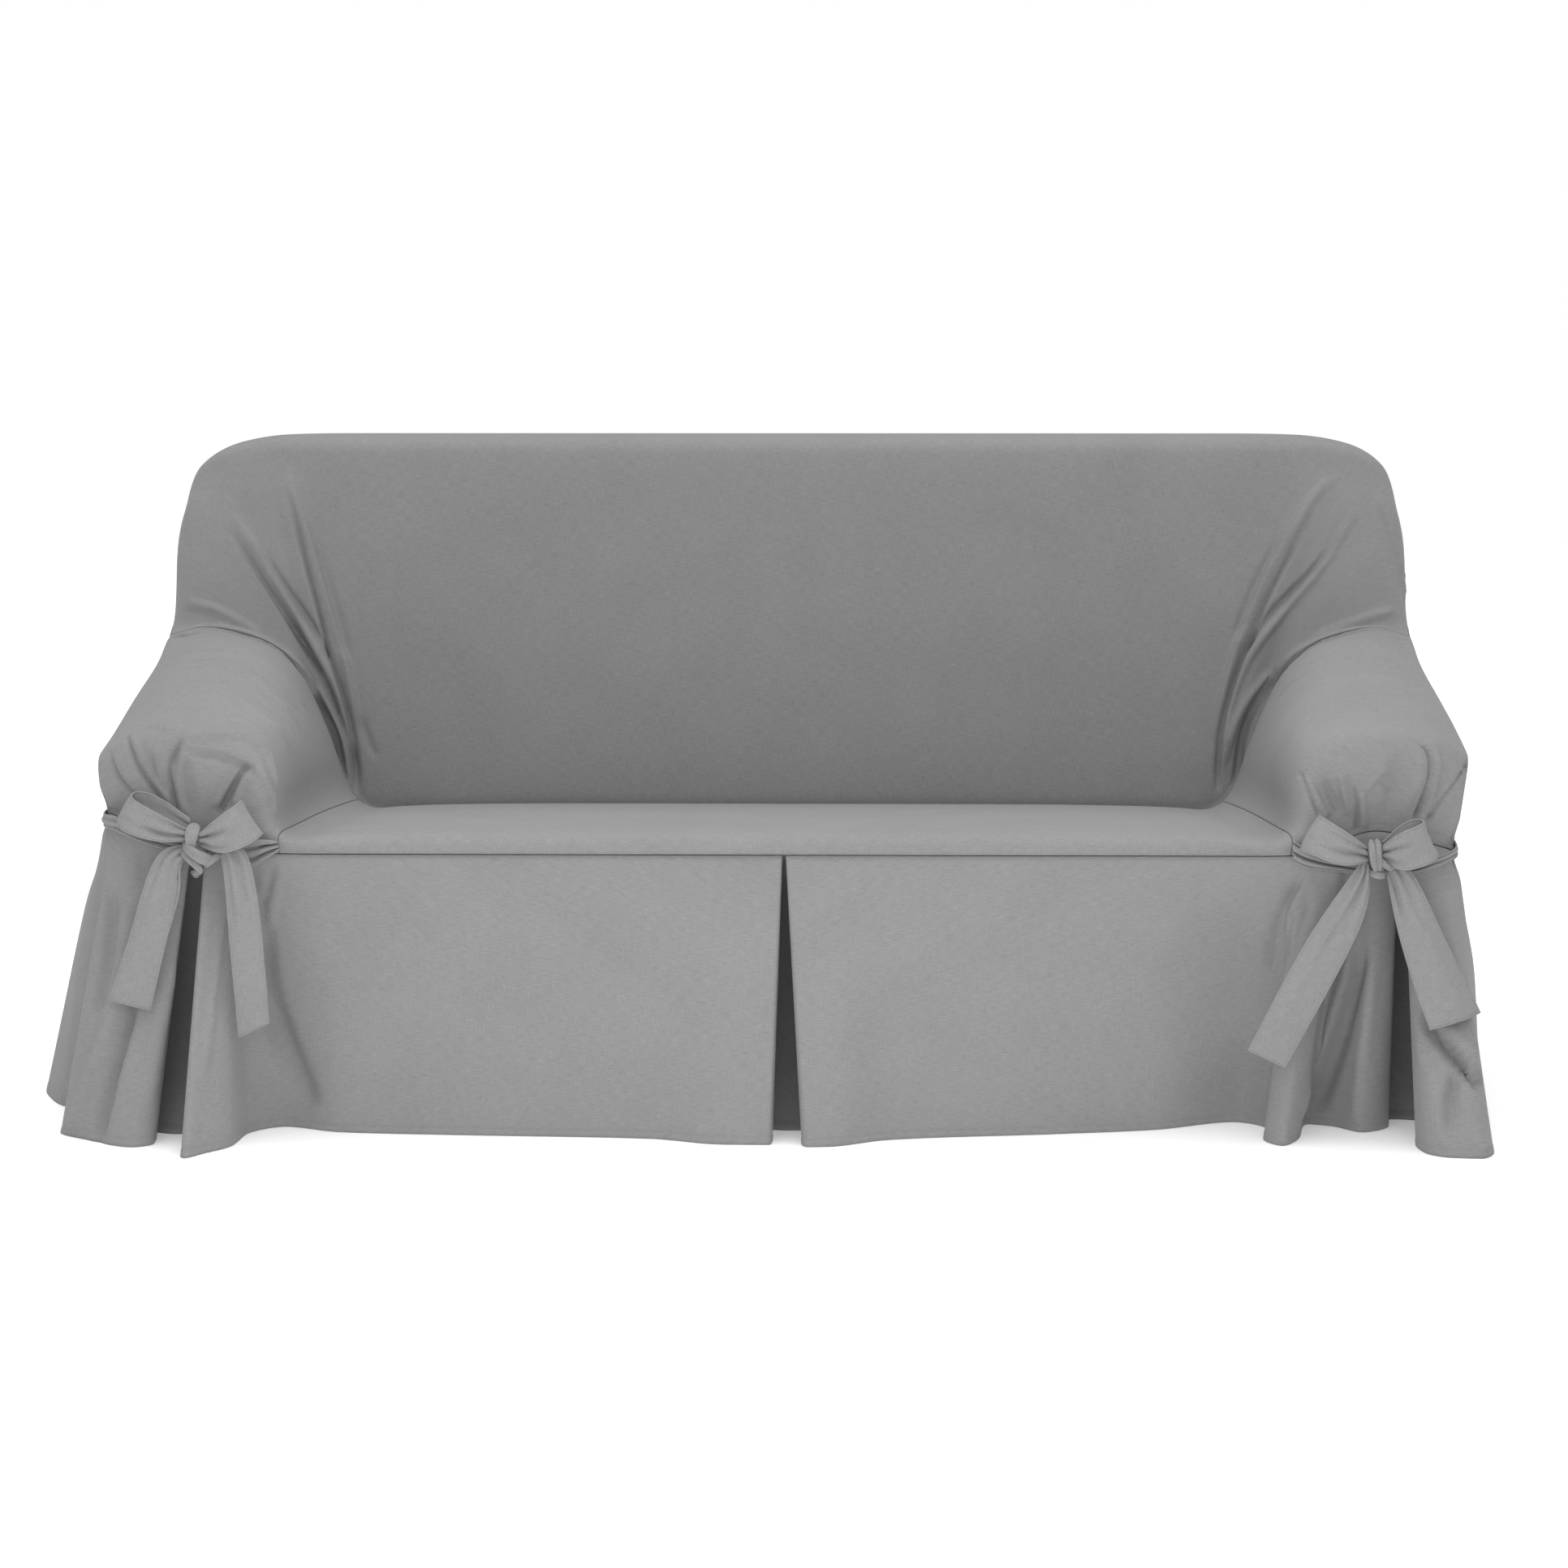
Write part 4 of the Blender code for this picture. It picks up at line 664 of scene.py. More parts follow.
def hang(top, hem, levels):
    """Cloth that hangs from the points in top down to the floor points in hem."""
    drop = top[:, 2].mean()
    share = np.linspace(0.0, 1.0 - HEM_ROWS[0] / drop, levels + 1 - len(HEM_ROWS))
    share = np.concatenate([share, 1.0 - HEM_ROWS[1:] / drop])[:, None, None]
    floor = np.concatenate([hem, np.zeros((len(hem), 1))], axis=1)
    return top[None] * (1 - share) + floor[None] * share


def side_hem(section_places, side):
    """Floor point and draw of the side cloth, side 1 for the left and 2 for the right."""
    sign = -1.0 if side == 1 else 1.0
    rows = [row[side] for row in SIDE_HEMS]
    points = metres([(sign * x, depth, sign * draw) for x, depth, draw in rows])
    return spline_weights(section_places, len(points)) @ points


def side_cloth(top, hem):
    """The side cloth, straight from its edge to the floor apart from where the tie draws it in."""
    cloth = hang(top, hem[:, :2], SIDE_LEVELS)
    pull = np.exp(-((cloth[..., 2] - TIE_HEIGHT) / TIE_REACH) ** 2)
    pull[0] = 0.0
    cloth[..., 0] -= pull * hem[:, 2]
    return cloth


def rear_hem(top, left, right):
    """Floor points of the outside back between its two corners."""
    share = (top[:, 0] - top[0, 0]) / (top[-1, 0] - top[0, 0])
    hem = top[:, :2].copy()
    hem[:, 0] = left[0] + (right[0] - left[0]) * share
    hem[:, 1] = top[:, 1] + REAR_FLARE
    hem[0] = left
    hem[-1] = right
    return hem


def skirt(waist):
    """The pleated front, from the floor up to just under the seam line in waist."""
    folds = np.array([row[1:] for row in SKIRT_FOLDS]) / (MM, 1.0, MM, MM)
    knots = run(folds[:, 2:])
    steps = [max(2, round(part / SKIRT_STEP)) for part in np.diff(knots)]
    places = np.interp(stepped(steps), np.arange(len(knots)), knots)
    fine = eased(knots, folds, places)
    top = np.stack([fine[:, 0],
                    np.interp(fine[:, 0], waist[:, 0], waist[:, 1]) + PLEAT_LAYER * fine[:, 1],
                    np.interp(fine[:, 0], waist[:, 0], waist[:, 2])], axis=1)
    cloth = hang(top, fine[:, 2:], SKIRT_LEVELS)[::-1]
    drop = np.clip(cloth[..., 2] / top[:, 2], 0.0, 1.0)
    inner = np.clip(fine[:, 1] - 1.0, 0.0, 1.0)
    cloth[..., 1] += PLEAT_BILLOW * inner * np.sin(np.pi * drop) ** BILLOW_SHAPE
    return cloth


def near_line(points, line, reach):
    """Numbers of the points near a line, how far each is from it, and its share of the line."""
    low = line.min(axis=0) - reach
    high = line.max(axis=0) + reach
    near = np.flatnonzero(((points > low) & (points < high)).all(axis=1))
    away = np.full(len(near), np.inf)
    share = np.zeros(len(near))
    for k in range(len(line) - 1):
        step = line[k + 1] - line[k]
        along = np.clip((points[near] - line[k]) @ step / (step @ step), 0.0, 1.0)
        distance = np.linalg.norm(points[near] - line[k] - along[:, None] * step, axis=1)
        closer = distance < away
        away[closer] = distance[closer]
        share[closer] = (k + along[closer]) / (len(line) - 1)
    return near, away, share


def press_folds(points):
    """How far each point stands out of the smooth sheet because of the long folds."""
    height = np.zeros(len(points))
    share = np.linspace(0.0, 1.0, FOLD_POINTS)[:, None]
    for _, *ends, width, rise in FOLDS:
        start, bend, end = metres(ends)
        line = (1 - share) ** 2 * start + 2 * share * (1 - share) * bend + share ** 2 * end
        near, away, place = near_line(points, line, width / MM)
        height[near] += rise / MM * np.sin(np.pi * place) * hump(MM * away / width)
    return height


def laid_line(points, side, marks):
    """A crease's smooth line on the cloth that is met first from one side."""
    first, second, into, sign = SIDES[side]
    if side == "inside back":
        points = points[points[:, 1] > BEHIND_ARMS]
    last = len(marks) - 1
    smooth = spline_weights(np.linspace(0, last, LINE_STEPS * last + 1), len(marks)) @ marks
    line = np.zeros((len(smooth), 3))
    flat = points[:, (first, second)]
    for k, mark in enumerate(smooth):
        away = np.abs(flat - mark).max(axis=1)
        near = np.flatnonzero(away < CATCH)
        line[k, (first, second)] = mark
        line[k, into] = np.nan
        if len(near):
            deep = points[near, into] * sign
            top = deep < deep.min() + LAYER
            line[k, into] = points[near[top][np.argmin(away[near[top]])], into]
    return line


def press_creases(points, facing):
    """How far each point stands out because of the smaller creases."""
    height = np.zeros(len(points))
    grow, die = CREASE_FADE
    for side, creases in CREASES.items():
        into, sign = SIDES[side][2:]
        for marks, *form in creases:
            start_width, end_width, start_rise, end_rise = metres(form)
            line = laid_line(points, side, metres(marks))
            line = line[~np.isnan(line).any(axis=1)]
            near, away, place = near_line(points, line, max(start_width, end_width))
            width = start_width + (end_width - start_width) * place
            rise = start_rise + (end_rise - start_rise) * place
            towards = np.clip(-sign * facing[near, into] * TURNED_AWAY, 0.0, 1.0)
            fade = growth(place / grow) * growth((1.0 - place) / die)
            height[near] += rise * towards * fade * hump(away / width)
    return height


def press_hem(points):
    """The hem is a little thicker than the cloth, with a groove where it is stitched down."""
    groove = np.clip(1.0 - np.abs(points[:, 2] - HEM) / HEM_GROOVE[0], 0.0, 1.0)
    thicker = np.clip((HEM - points[:, 2]) / HEM_SWELL[0], 0.0, 1.0)
    return HEM_SWELL[1] * thicker - HEM_GROOVE[1] * groove


def press_waist(points, stitches):
    """The stitches above the waist seam draw a groove into the cloth."""
    half, depth = WAIST_GROOVE
    near, away, _ = near_line(points, stitches, half)
    height = np.zeros(len(points))
    height[near] = -depth * hump(away / half)
    return height


# ---------------------------------------------------------------- panels
PANELS = ("seat_and_inside_back", "outside_back", "arm_cover_left", "arm_cover_right", "front_skirt")


def measured(grid):
    """Places of a grid's points along the cloth, in metres: across the rows and along them."""
    across = np.linalg.norm(np.diff(grid, axis=1), axis=2).cumsum(axis=1)
    along = np.linalg.norm(np.diff(grid, axis=0), axis=2).cumsum(axis=0)
    across = np.concatenate([np.zeros((len(grid), 1)), across], axis=1)
    along = np.concatenate([np.zeros((1, grid.shape[1])), along], axis=0)
    middle = across[:, across.shape[1] // 2][:, None]
    return np.stack([across - middle, along], axis=2)


class Sheet:
    """The whole cover as one welded sheet, with the panel and the place on the cloth of each face."""

    def __init__(self):
        self.grids = []
        self.levels = []
        self.numbers = []

    def add_grid(self, grid, panels):
        """A grid of points, with one panel number for all its faces or one for each."""
        self.grids.append((grid, panels))

    def keep_level(self, row):
        """The cut edge along this row stays level, so that it faces straight up or down."""
        self.levels.append(np.round(row, SAME))

    def weld(self):
        """Join the grids into one mesh wherever their points meet."""
        points = np.concatenate([grid.reshape(-1, 3) for grid, _ in self.grids])
        _, first, index = np.unique(np.round(points, SAME), axis=0, return_index=True, return_inverse=True)
        index = index.ravel()
        self.points = points[first]
        faces = []
        panels = []
        cloth = []
        start = 0
        for grid, named in self.grids:
            rows, columns = grid.shape[:2]
            number = index[start + np.arange(rows * columns)].reshape(rows, columns)
            self.numbers.append(number)
            faces.append(quads(number))
            cloth.append(quads(measured(grid)))
            panels.append(np.broadcast_to(named, (rows - 1, columns - 1)).ravel())
            start += rows * columns
        self.faces = np.concatenate(faces)
        self.panels = np.concatenate(panels)
        self.cloth = np.concatenate(cloth)
        level = np.concatenate(self.levels)
        together = np.concatenate([np.round(self.points, SAME), level])
        back = np.unique(together, axis=0, return_inverse=True)[1].ravel()
        self.level = np.isin(back[:len(self.points)], back[len(self.points):])

    def normals(self):
        """The way out of the cloth at each point."""
        corner = self.points[self.faces]
        cross = np.cross(corner[:, 2] - corner[:, 0], corner[:, 3] - corner[:, 1])
        total = np.zeros_like(self.points)
        for k in range(4):
            np.add.at(total, self.faces[:, k], cross)
        total[self.level, 2] = 0.0
        return unit(total)

    def lift(self, heights, facing):
        """Move each point by its height, the way it faces."""
        self.points = self.points + facing * heights[:, None]


def whole_sheet():
    """The cover's middle surface, with every face given to a panel."""
    sheet = Sheet()
    rows = stepped(SECTION_STEPS)
    columns = stepped(COLUMN_STEPS + COLUMN_STEPS[::-1])
    crease_row = sum(SECTION_STEPS[:SPANS_TO_BACK])
    top_row = sum(SECTION_STEPS[:SPANS_TO_TOP])
    seat_left = sum(COLUMN_STEPS[:SPANS_TO_CREASE_LINE])
    seat_right = len(columns) - 1 - seat_left
    grid = drape(rows, columns)
    upper = np.zeros((len(rows) - 1, len(columns) - 1), int)
    upper[:crease_row, :seat_left] = PANELS.index("arm_cover_left")
    upper[:crease_row, seat_right:] = PANELS.index("arm_cover_right")
    upper[top_row:] = PANELS.index("outside_back")
    sheet.add_grid(grid, upper)
    left_hem = side_hem(rows, 1)
    right_hem = side_hem(rows, 2)
    left_side = side_cloth(grid[:, 0], left_hem)
    right_side = side_cloth(grid[:, -1], right_hem)
    sheet.add_grid(np.swapaxes(left_side[::-1], 0, 1), PANELS.index("arm_cover_left"))
    sheet.add_grid(np.swapaxes(right_side, 0, 1), PANELS.index("arm_cover_right"))
    rear = hang(grid[-1], rear_hem(grid[-1], left_hem[-1, :2], right_hem[-1, :2]), SIDE_LEVELS)
    sheet.add_grid(rear, PANELS.index("outside_back"))
    front = skirt(grid[0] - np.array([0.0, 0.0, WAIST_GAP]))
    front[:, 0] = left_side[::-1, 0]
    front[:, -1] = right_side[::-1, 0]
    sheet.add_grid(front, PANELS.index("front_skirt"))
    for edge in (grid[0], left_side[-1], right_side[-1], rear[-1], front[0], front[-1]):
        sheet.keep_level(edge)
    sheet.weld()
    sheet.lift(press_folds(sheet.points), sheet.normals())
    facing = sheet.normals()
    sheet.lift(press_creases(sheet.points, facing) + press_hem(sheet.points), facing)
    sheet.rows = [
        sheet.numbers[0][WAIST_STITCHES],
        sheet.numbers[1][::-1, HEM_STITCHES],
        sheet.numbers[2][:, -1 - HEM_STITCHES],
        sheet.numbers[3][-1 - HEM_STITCHES],
        sheet.numbers[4][HEM_STITCHES],
    ]
    sheet.lift(press_waist(sheet.points, sheet.points[sheet.rows[0]]), sheet.normals())
    return sheet


def panel_shell(sheet, panel):
    """The closed solid of one panel: its faces made thick, and drawn back a little at its seams."""
    points = sheet.points
    normals = sheet.normals()
    mine = sheet.panels == PANELS.index(panel)
    own = sheet.faces[mine]
    cloth = sheet.cloth[mine]
    in_others = np.zeros(len(points), bool)
    in_others[sheet.faces[~mine].ravel()] = True
    edges = np.concatenate([own[:, (k, (k + 1) % 4)] for k in range(4)])
    forward = edges[:, 0].astype(np.int64) * len(points) + edges[:, 1]
    backward = edges[:, 1].astype(np.int64) * len(points) + edges[:, 0]
    rim = edges[~np.isin(forward, backward)]
    inward = {}
    for a, b in rim:
        away = np.cross(normals[a] + normals[b], points[b] - points[a])
        for corner in (a, b):
            if in_others[corner] and max(points[a][2], points[b][2]) > 0.0:
                inward.setdefault(corner, []).append(unit(away))
    middle = points.copy()
    for corner, pulls in inward.items():
        pull = sum(pulls)
        middle[corner] += 0.5 * SEAM_GAP * len(pulls) * pull / pull.dot(pull)
        if points[corner][2] == 0.0:
            middle[corner, 2] = 0.0
    used, local = np.unique(own, return_inverse=True)
    local = local.reshape(own.shape)
    count = len(used)
    outer = middle[used] + 0.5 * CLOTH * normals[used]
    inner = middle[used] - 0.5 * CLOTH * normals[used]
    place = np.zeros(len(points), int)
    place[used] = np.arange(count)
    side = place[rim]
    side = np.stack([side[:, 1], side[:, 0], side[:, 0] + count, side[:, 1] + count], axis=1)
    back = local[:, ::-1] + count
    faces = np.concatenate([local, back, side])
    spots = np.concatenate([cloth, cloth[:, ::-1], np.zeros((len(side), 4, 2))])
    return np.concatenate([outer, inner]), faces, spots


def strap_lift(name, share, width, along):
    """How far a strap's points stand out because of its creases."""
    spot = np.stack([(share - 0.5) * width, np.broadcast_to(along[:, None], share.shape)], axis=2)
    rows = [(start, 0.0, end, reach, half, rise) for start, end, reach, half, rise in STRAP_CREASES]
    rows += STRAP_FOLDS[name]
    height = np.zeros(share.shape)
    grow, die = STRAP_FADE
    place = np.linspace(0.0, 1.0, CREASE_POINTS)
    for start, start_along, end, end_along, half, rise in rows:
        down = (start_along + (end_along - start_along) * place) * along[-1]
        across = (start + (end - start) * place - 0.5) * np.interp(down, along, width[:, 0])
        line = np.stack([across, down], axis=1)
        near, away, part = near_line(spot.reshape(-1, 2), line, half / MM)
        fade = growth((1.0 - part) / die)
        if start_along > 0.0:
            fade = fade * growth(part / grow)
        height.reshape(-1)[near] += rise / MM * fade * hump(MM * away / half)
    return height


def strap_shell(name, rows):
    """The closed solid of one piece of a tie, its places on the cloth and its rows of stitches."""
    controls = metres([(*first, *second, thickness, bow) for first, second, thickness, bow in rows])
    length = np.linalg.norm(np.diff(controls[:, :3] + controls[:, 3:6], axis=0), axis=1) / 2
    places = stepped([max(STRAP_FACES, round(part / STRAP_STEP)) for part in length])
    free = "tail" in name
    if free:
        ends = len(length) - np.array(STRAP_RIM[:0:-1]) / length[-1]
        places = np.concatenate([places[places < ends[0] - TAIL_GAP], ends, places[-1:]])
    fine = spline_weights(places, len(rows)) @ controls
    first = fine[:, None, :3]
    second = fine[:, None, 3:6]
    centre = 0.5 * (first + second)[:, 0]
    along = run(centre)
    width = np.linalg.norm(second - first, axis=2)
    rim = np.array(STRAP_RIM)
    between = np.linspace(0.0, 1.0, STRAP_COLUMNS + 1)[1:-1]
    offset = np.concatenate([np.broadcast_to(rim, (len(fine), len(rim))),
                             rim[-1] + between * (width - 2 * rim[-1]), width - rim[::-1]], axis=1)
    share = offset / width
    full = np.interp(np.minimum(offset, width - offset), STRAP_RIM, STRAP_FULL)
    if free:
        full *= np.interp(along[-1] - along, STRAP_RIM, STRAP_FULL)[:, None]
    gather = np.clip(0.5 * (fine[:, 6:7] - STRAP), 0.0, None)
    spread, start = GATHER_SHAPE
    folds = np.sin(np.pi * share) ** spread * np.cos(2 * np.pi * GATHERS * share + start)
    lift = fine[:, 7:8] * np.sin(np.pi * share) + gather * folds + strap_lift(name, share, width, along)
    facing = unit(np.cross(np.gradient(centre, axis=0), (second - first)[:, 0]))
    middle = first * (1 - share[..., None]) + second * share[..., None] + facing[:, None] * lift[..., None]
    normal = unit(np.cross(np.gradient(middle, axis=0), np.gradient(middle, axis=1)))
    shift = 0.5 * STRAP * full[..., None] * normal
    points = np.concatenate([(middle + shift).reshape(-1, 3), (middle - shift).reshape(-1, 3)])
    number = np.arange(share.size).reshape(share.shape)
    back = quads(number) + share.size
    front = back[:, ::-1] - share.size
    loop = np.concatenate([number[0], number[1:, -1], number[-1, -2::-1], number[-2:0:-1, 0]])
    turned = np.roll(loop, -1)
    side = np.stack([loop, turned, turned + share.size, loop + share.size], axis=1)
    faces = np.concatenate([front, back, side])
    spot = np.stack([offset - 0.5 * width, np.broadcast_to(along[:, None], share.shape)], axis=2)
    spots = spot.reshape(-1, 2)[faces % share.size]
    stitches = []
    for grid, outward in ((middle + shift, normal), (middle - shift, -normal)):
        stop = len(share) - TAIL_STITCHES if free else len(share)
        for column in (STITCH_COLUMN, -1 - STITCH_COLUMN):
            stitches.append((grid[:stop, column], outward[:stop, column]))
        if free:
            inside = slice(STITCH_COLUMN, -STITCH_COLUMN)
            stitches.append((grid[stop, inside], outward[stop, inside]))
    return points, faces, spots, stitches


def wrap_shell(rows):
    """A rounded, lightly folded length of tie that lies over the knot, thin at both ends."""
    places = np.linspace(0.0, len(rows) - 1.0, WRAP_STEPS * (len(rows) - 1) + 1)
    fine = spline_weights(places, len(rows)) @ metres(rows)
    middle = fine[:, :3]
    ahead = unit(np.gradient(middle, axis=0))
    outward = unit(np.array([0.0, -1.0, 0.0]) + ahead * ahead[:, 1:2])
    across = np.cross(outward, ahead)
    turn = np.linspace(0.0, 2 * np.pi, RING + 1)[:-1]
    share = (places / places[-1])[:, None]
    height, folds = WRAP_FOLDS
    sway = FOLD_SWAY[0] * np.sin(FOLD_SWAY[1] * share)
    ripple = height * np.sin(folds * np.pi * np.cos(turn) + sway) * np.sin(turn) ** 2
    full = np.sqrt(np.clip(1.0 - (2.0 * share - 1.0) ** WRAP_END[0], WRAP_END[1], 1.0))
    wide, thick = (np.sign(way) * np.abs(way) ** WRAP_SQUARE for way in (np.cos(turn), np.sin(turn)))
    wide = full * fine[:, 3:4] * wide
    thick = full * (fine[:, 4:5] * thick + ripple)
    return middle[:, None] + wide[..., None] * across[:, None] + thick[..., None] * outward[:, None]


def core_shell(centre, size):
    """The egg-shaped heart of a knot."""
    tilt = np.linspace(POLE, np.pi - POLE, CORE_RINGS)[:, None]
    turn = np.linspace(0.0, 2 * np.pi, RING + 1)[:-1]
    ways = (np.cos(turn) * np.sin(tilt), np.cos(tilt) + 0.0 * turn, np.sin(turn) * np.sin(tilt))
    return metres(centre) + np.stack(ways, axis=2) * metres(size)


def knot_shell(core, wraps):
    """A knot: its core with the tie's wraps over it."""
    points = []
    faces = []
    spots = []
    start = 0
    for tube in [core_shell(*core)] + [wrap_shell(rows) for rows in wraps]:
        rings, count = tube.shape[:2]
        number = start + np.arange(rings * count).reshape(rings, count)
        beside = np.roll(number, -1, axis=1)
        sides = np.stack([number[:-1], number[1:], beside[1:], beside[:-1]], axis=2).reshape(-1, 4)
        first = number[0, ::-1]
        last = number[-1]
        volume = np.einsum("ij,ij->", tube[:-1].reshape(-1, 3) - tube.mean(axis=(0, 1)),
                           np.cross((tube[1:] - tube[:-1]).reshape(-1, 3),
                                    (np.roll(tube, -1, axis=1)[:-1] - tube[:-1]).reshape(-1, 3)))
        mine = sides.tolist() + [first.tolist(), last.tolist()]
        if volume < 0.0:
            mine = [face[::-1] for face in mine]
        around, along = np.meshgrid(np.linspace(*WRAP_TURN, count), run(tube.mean(axis=1)))
        place = np.stack([around, along], axis=2).reshape(-1, 2)
        spots += [place[corner - start] for face in mine for corner in face]
        points.append(tube.reshape(-1, 3))
        faces += mine
        start += rings * count
    return np.concatenate(points), faces, np.array(spots)


def add_stitches(name, rows, material):
    """One mesh with a small stitch every few millimetres along each row of (places, normals)."""
    half = 0.5 * np.array(STITCH)
    shape = np.array([(1, 0, 0), (-1, 0, 0), (0, 1, 0), (0, -1, 0), (0, 0, 1), (0, 0, -1)]) * half
    sides = np.array([(0, 2, 4), (2, 1, 4), (1, 3, 4), (3, 0, 4), (2, 0, 5), (1, 2, 5), (3, 1, 5), (0, 3, 5)])
    points = []
    for places, normals in rows:
        ruler = run(places)
        spots = np.arange(0.5 * STITCH_PITCH, ruler[-1], STITCH_PITCH)
        looks = ((spots, places), (spots + STITCH_AIM, places), (spots, normals))
        middle, ahead, up = (np.stack([np.interp(at, ruler, column) for column in values.T], axis=1)
                             for at, values in looks)
        along = unit(ahead - middle)
        axes = np.stack([along, np.cross(up, along), up], axis=1)
        middle = middle + STITCH_PROUD * half[2] * up
        points.append(middle[:, None] + np.einsum("ck,nkj->ncj", shape, axes))
    points = np.concatenate(points)
    faces = (np.arange(len(points))[:, None, None] * len(shape) + sides).reshape(-1, 3)
    return add_mesh(name, points.reshape(-1, 3), faces, np.zeros((faces.size, 2)), material)


# ---------------------------------------------------------------- objects
def add_mesh(name, points, faces, spots, material):
    """A named smooth mesh in the part's frame, with its places along the cloth as its UV map."""
    mesh = bpy.data.meshes.new(name)
    mesh.from_pydata((np.asarray(points) - ORIGIN).tolist(), [], [list(map(int, face)) for face in faces])
    layer = mesh.uv_layers.new(name="UVMap")
    layer.data.foreach_set("uv", np.asarray(spots, dtype=np.float32).ravel())
    mesh.update()
    mesh.shade_smooth()
    mesh.materials.append(material)
    return add_thing(name, mesh)


def add_node(tree, kind, inputs, **settings):
    """A new node, with each of its inputs set to a value or linked from another node's output."""
    node = tree.nodes.new("ShaderNode" + kind)
    for name, value in settings.items():
        setattr(node, name, value)
    fill_inputs(tree, node, inputs)
    return node


def fill_inputs(tree, node, inputs):
    for name, value in inputs.items():
        if isinstance(value, bpy.types.NodeSocket):
            tree.links.new(value, node.inputs[name])
        else:
            node.inputs[name].default_value = value


def plain_material(name, colour, roughness, **more):
    material = bpy.data.materials.new(name)
    material.use_nodes = True
    inputs = {"Base Color": (*colour, 1.0), "Roughness": roughness, **more}
    fill_inputs(material.node_tree, material.node_tree.nodes["Principled BSDF"], inputs)
    return material


CLOTH_TINT = (0.262, 0.262, 0.264)
THREAD_TINT = (0.275, 0.275, 0.277)
CLOTH_LOOK = {"Specular IOR Level": 0.15, "Sheen Weight": 0.10, "Sheen Roughness": 0.6}
CLOTH_ROUGHNESS = 0.92
THREAD_ROUGHNESS = 0.85
# Threads and clouds of the cloth: their number in a metre across and along it, and their seed.
WEFT = ((70.0, 1100.0), 3.0)
WARP = ((1100.0, 70.0), 17.0)
CLOUDS = ((9.0, 9.0), 5.0)
WARP_SHARE = 0.8         # how strongly the warp shows beside the weft
CLOUD_SHARE = 0.25
THREAD_SPAN = (0.65, 1.40)  # the lowest and highest sum of these that tell in the tint
TINT_SPAN = (0.84, 1.16)    # and the share of the tint that they give
BUMP = {"Strength": 0.35, "Distance": 0.0004}


def cloth_material(name, tint):
    """Plain-weave cotton: uneven threads both ways, a little fuzz, no shine."""
    material = plain_material(name, tint, CLOTH_ROUGHNESS, **CLOTH_LOOK)
    tree = material.node_tree
    place = add_node(tree, "TexCoord", {}).outputs["UV"]

    def threads(scale, seed):
        inputs = {"Scale": (*scale, 1.0), "Location": (seed, 2.0 * seed, 0.0), "Vector": place}
        spread = add_node(tree, "Mapping", inputs)
        inputs = {"Scale": 1.0, "Detail": 2.0, "Vector": spread.outputs["Vector"]}
        return add_node(tree, "TexNoise", inputs, noise_dimensions="2D").outputs["Fac"]

    def sum_of(first, share, second):
        """The first value's share added to the second value."""
        inputs = {0: first, 1: share, 2: second}
        return add_node(tree, "Math", inputs, operation="MULTIPLY_ADD").outputs["Value"]

    weave = sum_of(threads(*WARP), WARP_SHARE, threads(*WEFT))
    tone = sum_of(threads(*CLOUDS), CLOUD_SHARE, weave)
    low, high = THREAD_SPAN
    span = add_node(tree, "MapRange", {"From Min": low, "From Max": high, "Value": tone})
    ramp = add_node(tree, "ValToRGB", {"Fac": span.outputs["Result"]})
    for stop, share in zip(ramp.color_ramp.elements, TINT_SPAN):
        stop.color = (*(value * share for value in tint), 1.0)
    bump = add_node(tree, "Bump", {**BUMP, "Height": weave})
    shader = tree.nodes["Principled BSDF"]
    fill_inputs(tree, shader, {"Base Color": ramp.outputs["Color"], "Normal": bump.outputs["Normal"]})
    return material


# ---------------------------------------------------------------- studio
WHITE = (1.0, 1.0, 1.0, 1.0)
FLOOR_HALF = 14.0
FLOOR_DEPTH = 0.0005     # the floor lies this far under the cover's hem
FLOOR_TINT = (0.92, 0.92, 0.92)
FLOOR_GLOW = 0.22
SKY_STRENGTH = 2.75
SKY_FOCUS = 3.0          # the higher, the more of the sky's light comes from straight above
# Place, the place it points at, width and height, and power in watts of each area light.
LIGHTS = {
    "low_front": ((0.0, -1.9, 0.75), (0.0, 0.0, 0.40), (2.4, 0.6), 13.0),
    "above_back": ((0.0, 0.5, 2.9), (0.0, 0.3, 0.4), (3.2, 1.2), 4.8),
}
CAMERA_PLACE = (0.1185, -4.868, 1.065)
CAMERA_DOWN = 7.28       # degrees below level
CAMERA_LEFT = 0.942      # degrees to the left of straight on
CAMERA_LENS = 75.8       # in millimetres, as is the width of the sensor
CAMERA_SENSOR = 36.0
CAMERA_FAR = 100.0


def add_thing(name, data):
    """An object with this data, in the scene."""
    thing = bpy.data.objects.new(name, data)
    bpy.context.collection.objects.link(thing)
    return thing


def build_floor():
    """A white floor with a little light of its own, as a lit photo table has."""
    floor_mesh = bpy.data.meshes.new("studio_floor")
    half = FLOOR_HALF
    corners = [(-half, -half, 0), (half, -half, 0), (half, half, 0), (-half, half, 0)]
    floor_mesh.from_pydata(corners, [], [(0, 1, 2, 3)])
    glow = {"Emission Color": WHITE, "Emission Strength": FLOOR_GLOW}
    floor_mesh.materials.append(plain_material("studio_white", FLOOR_TINT, 0.95, **glow))
    floor = add_thing("studio_floor", floor_mesh)
    floor.location.z = -FLOOR_DEPTH


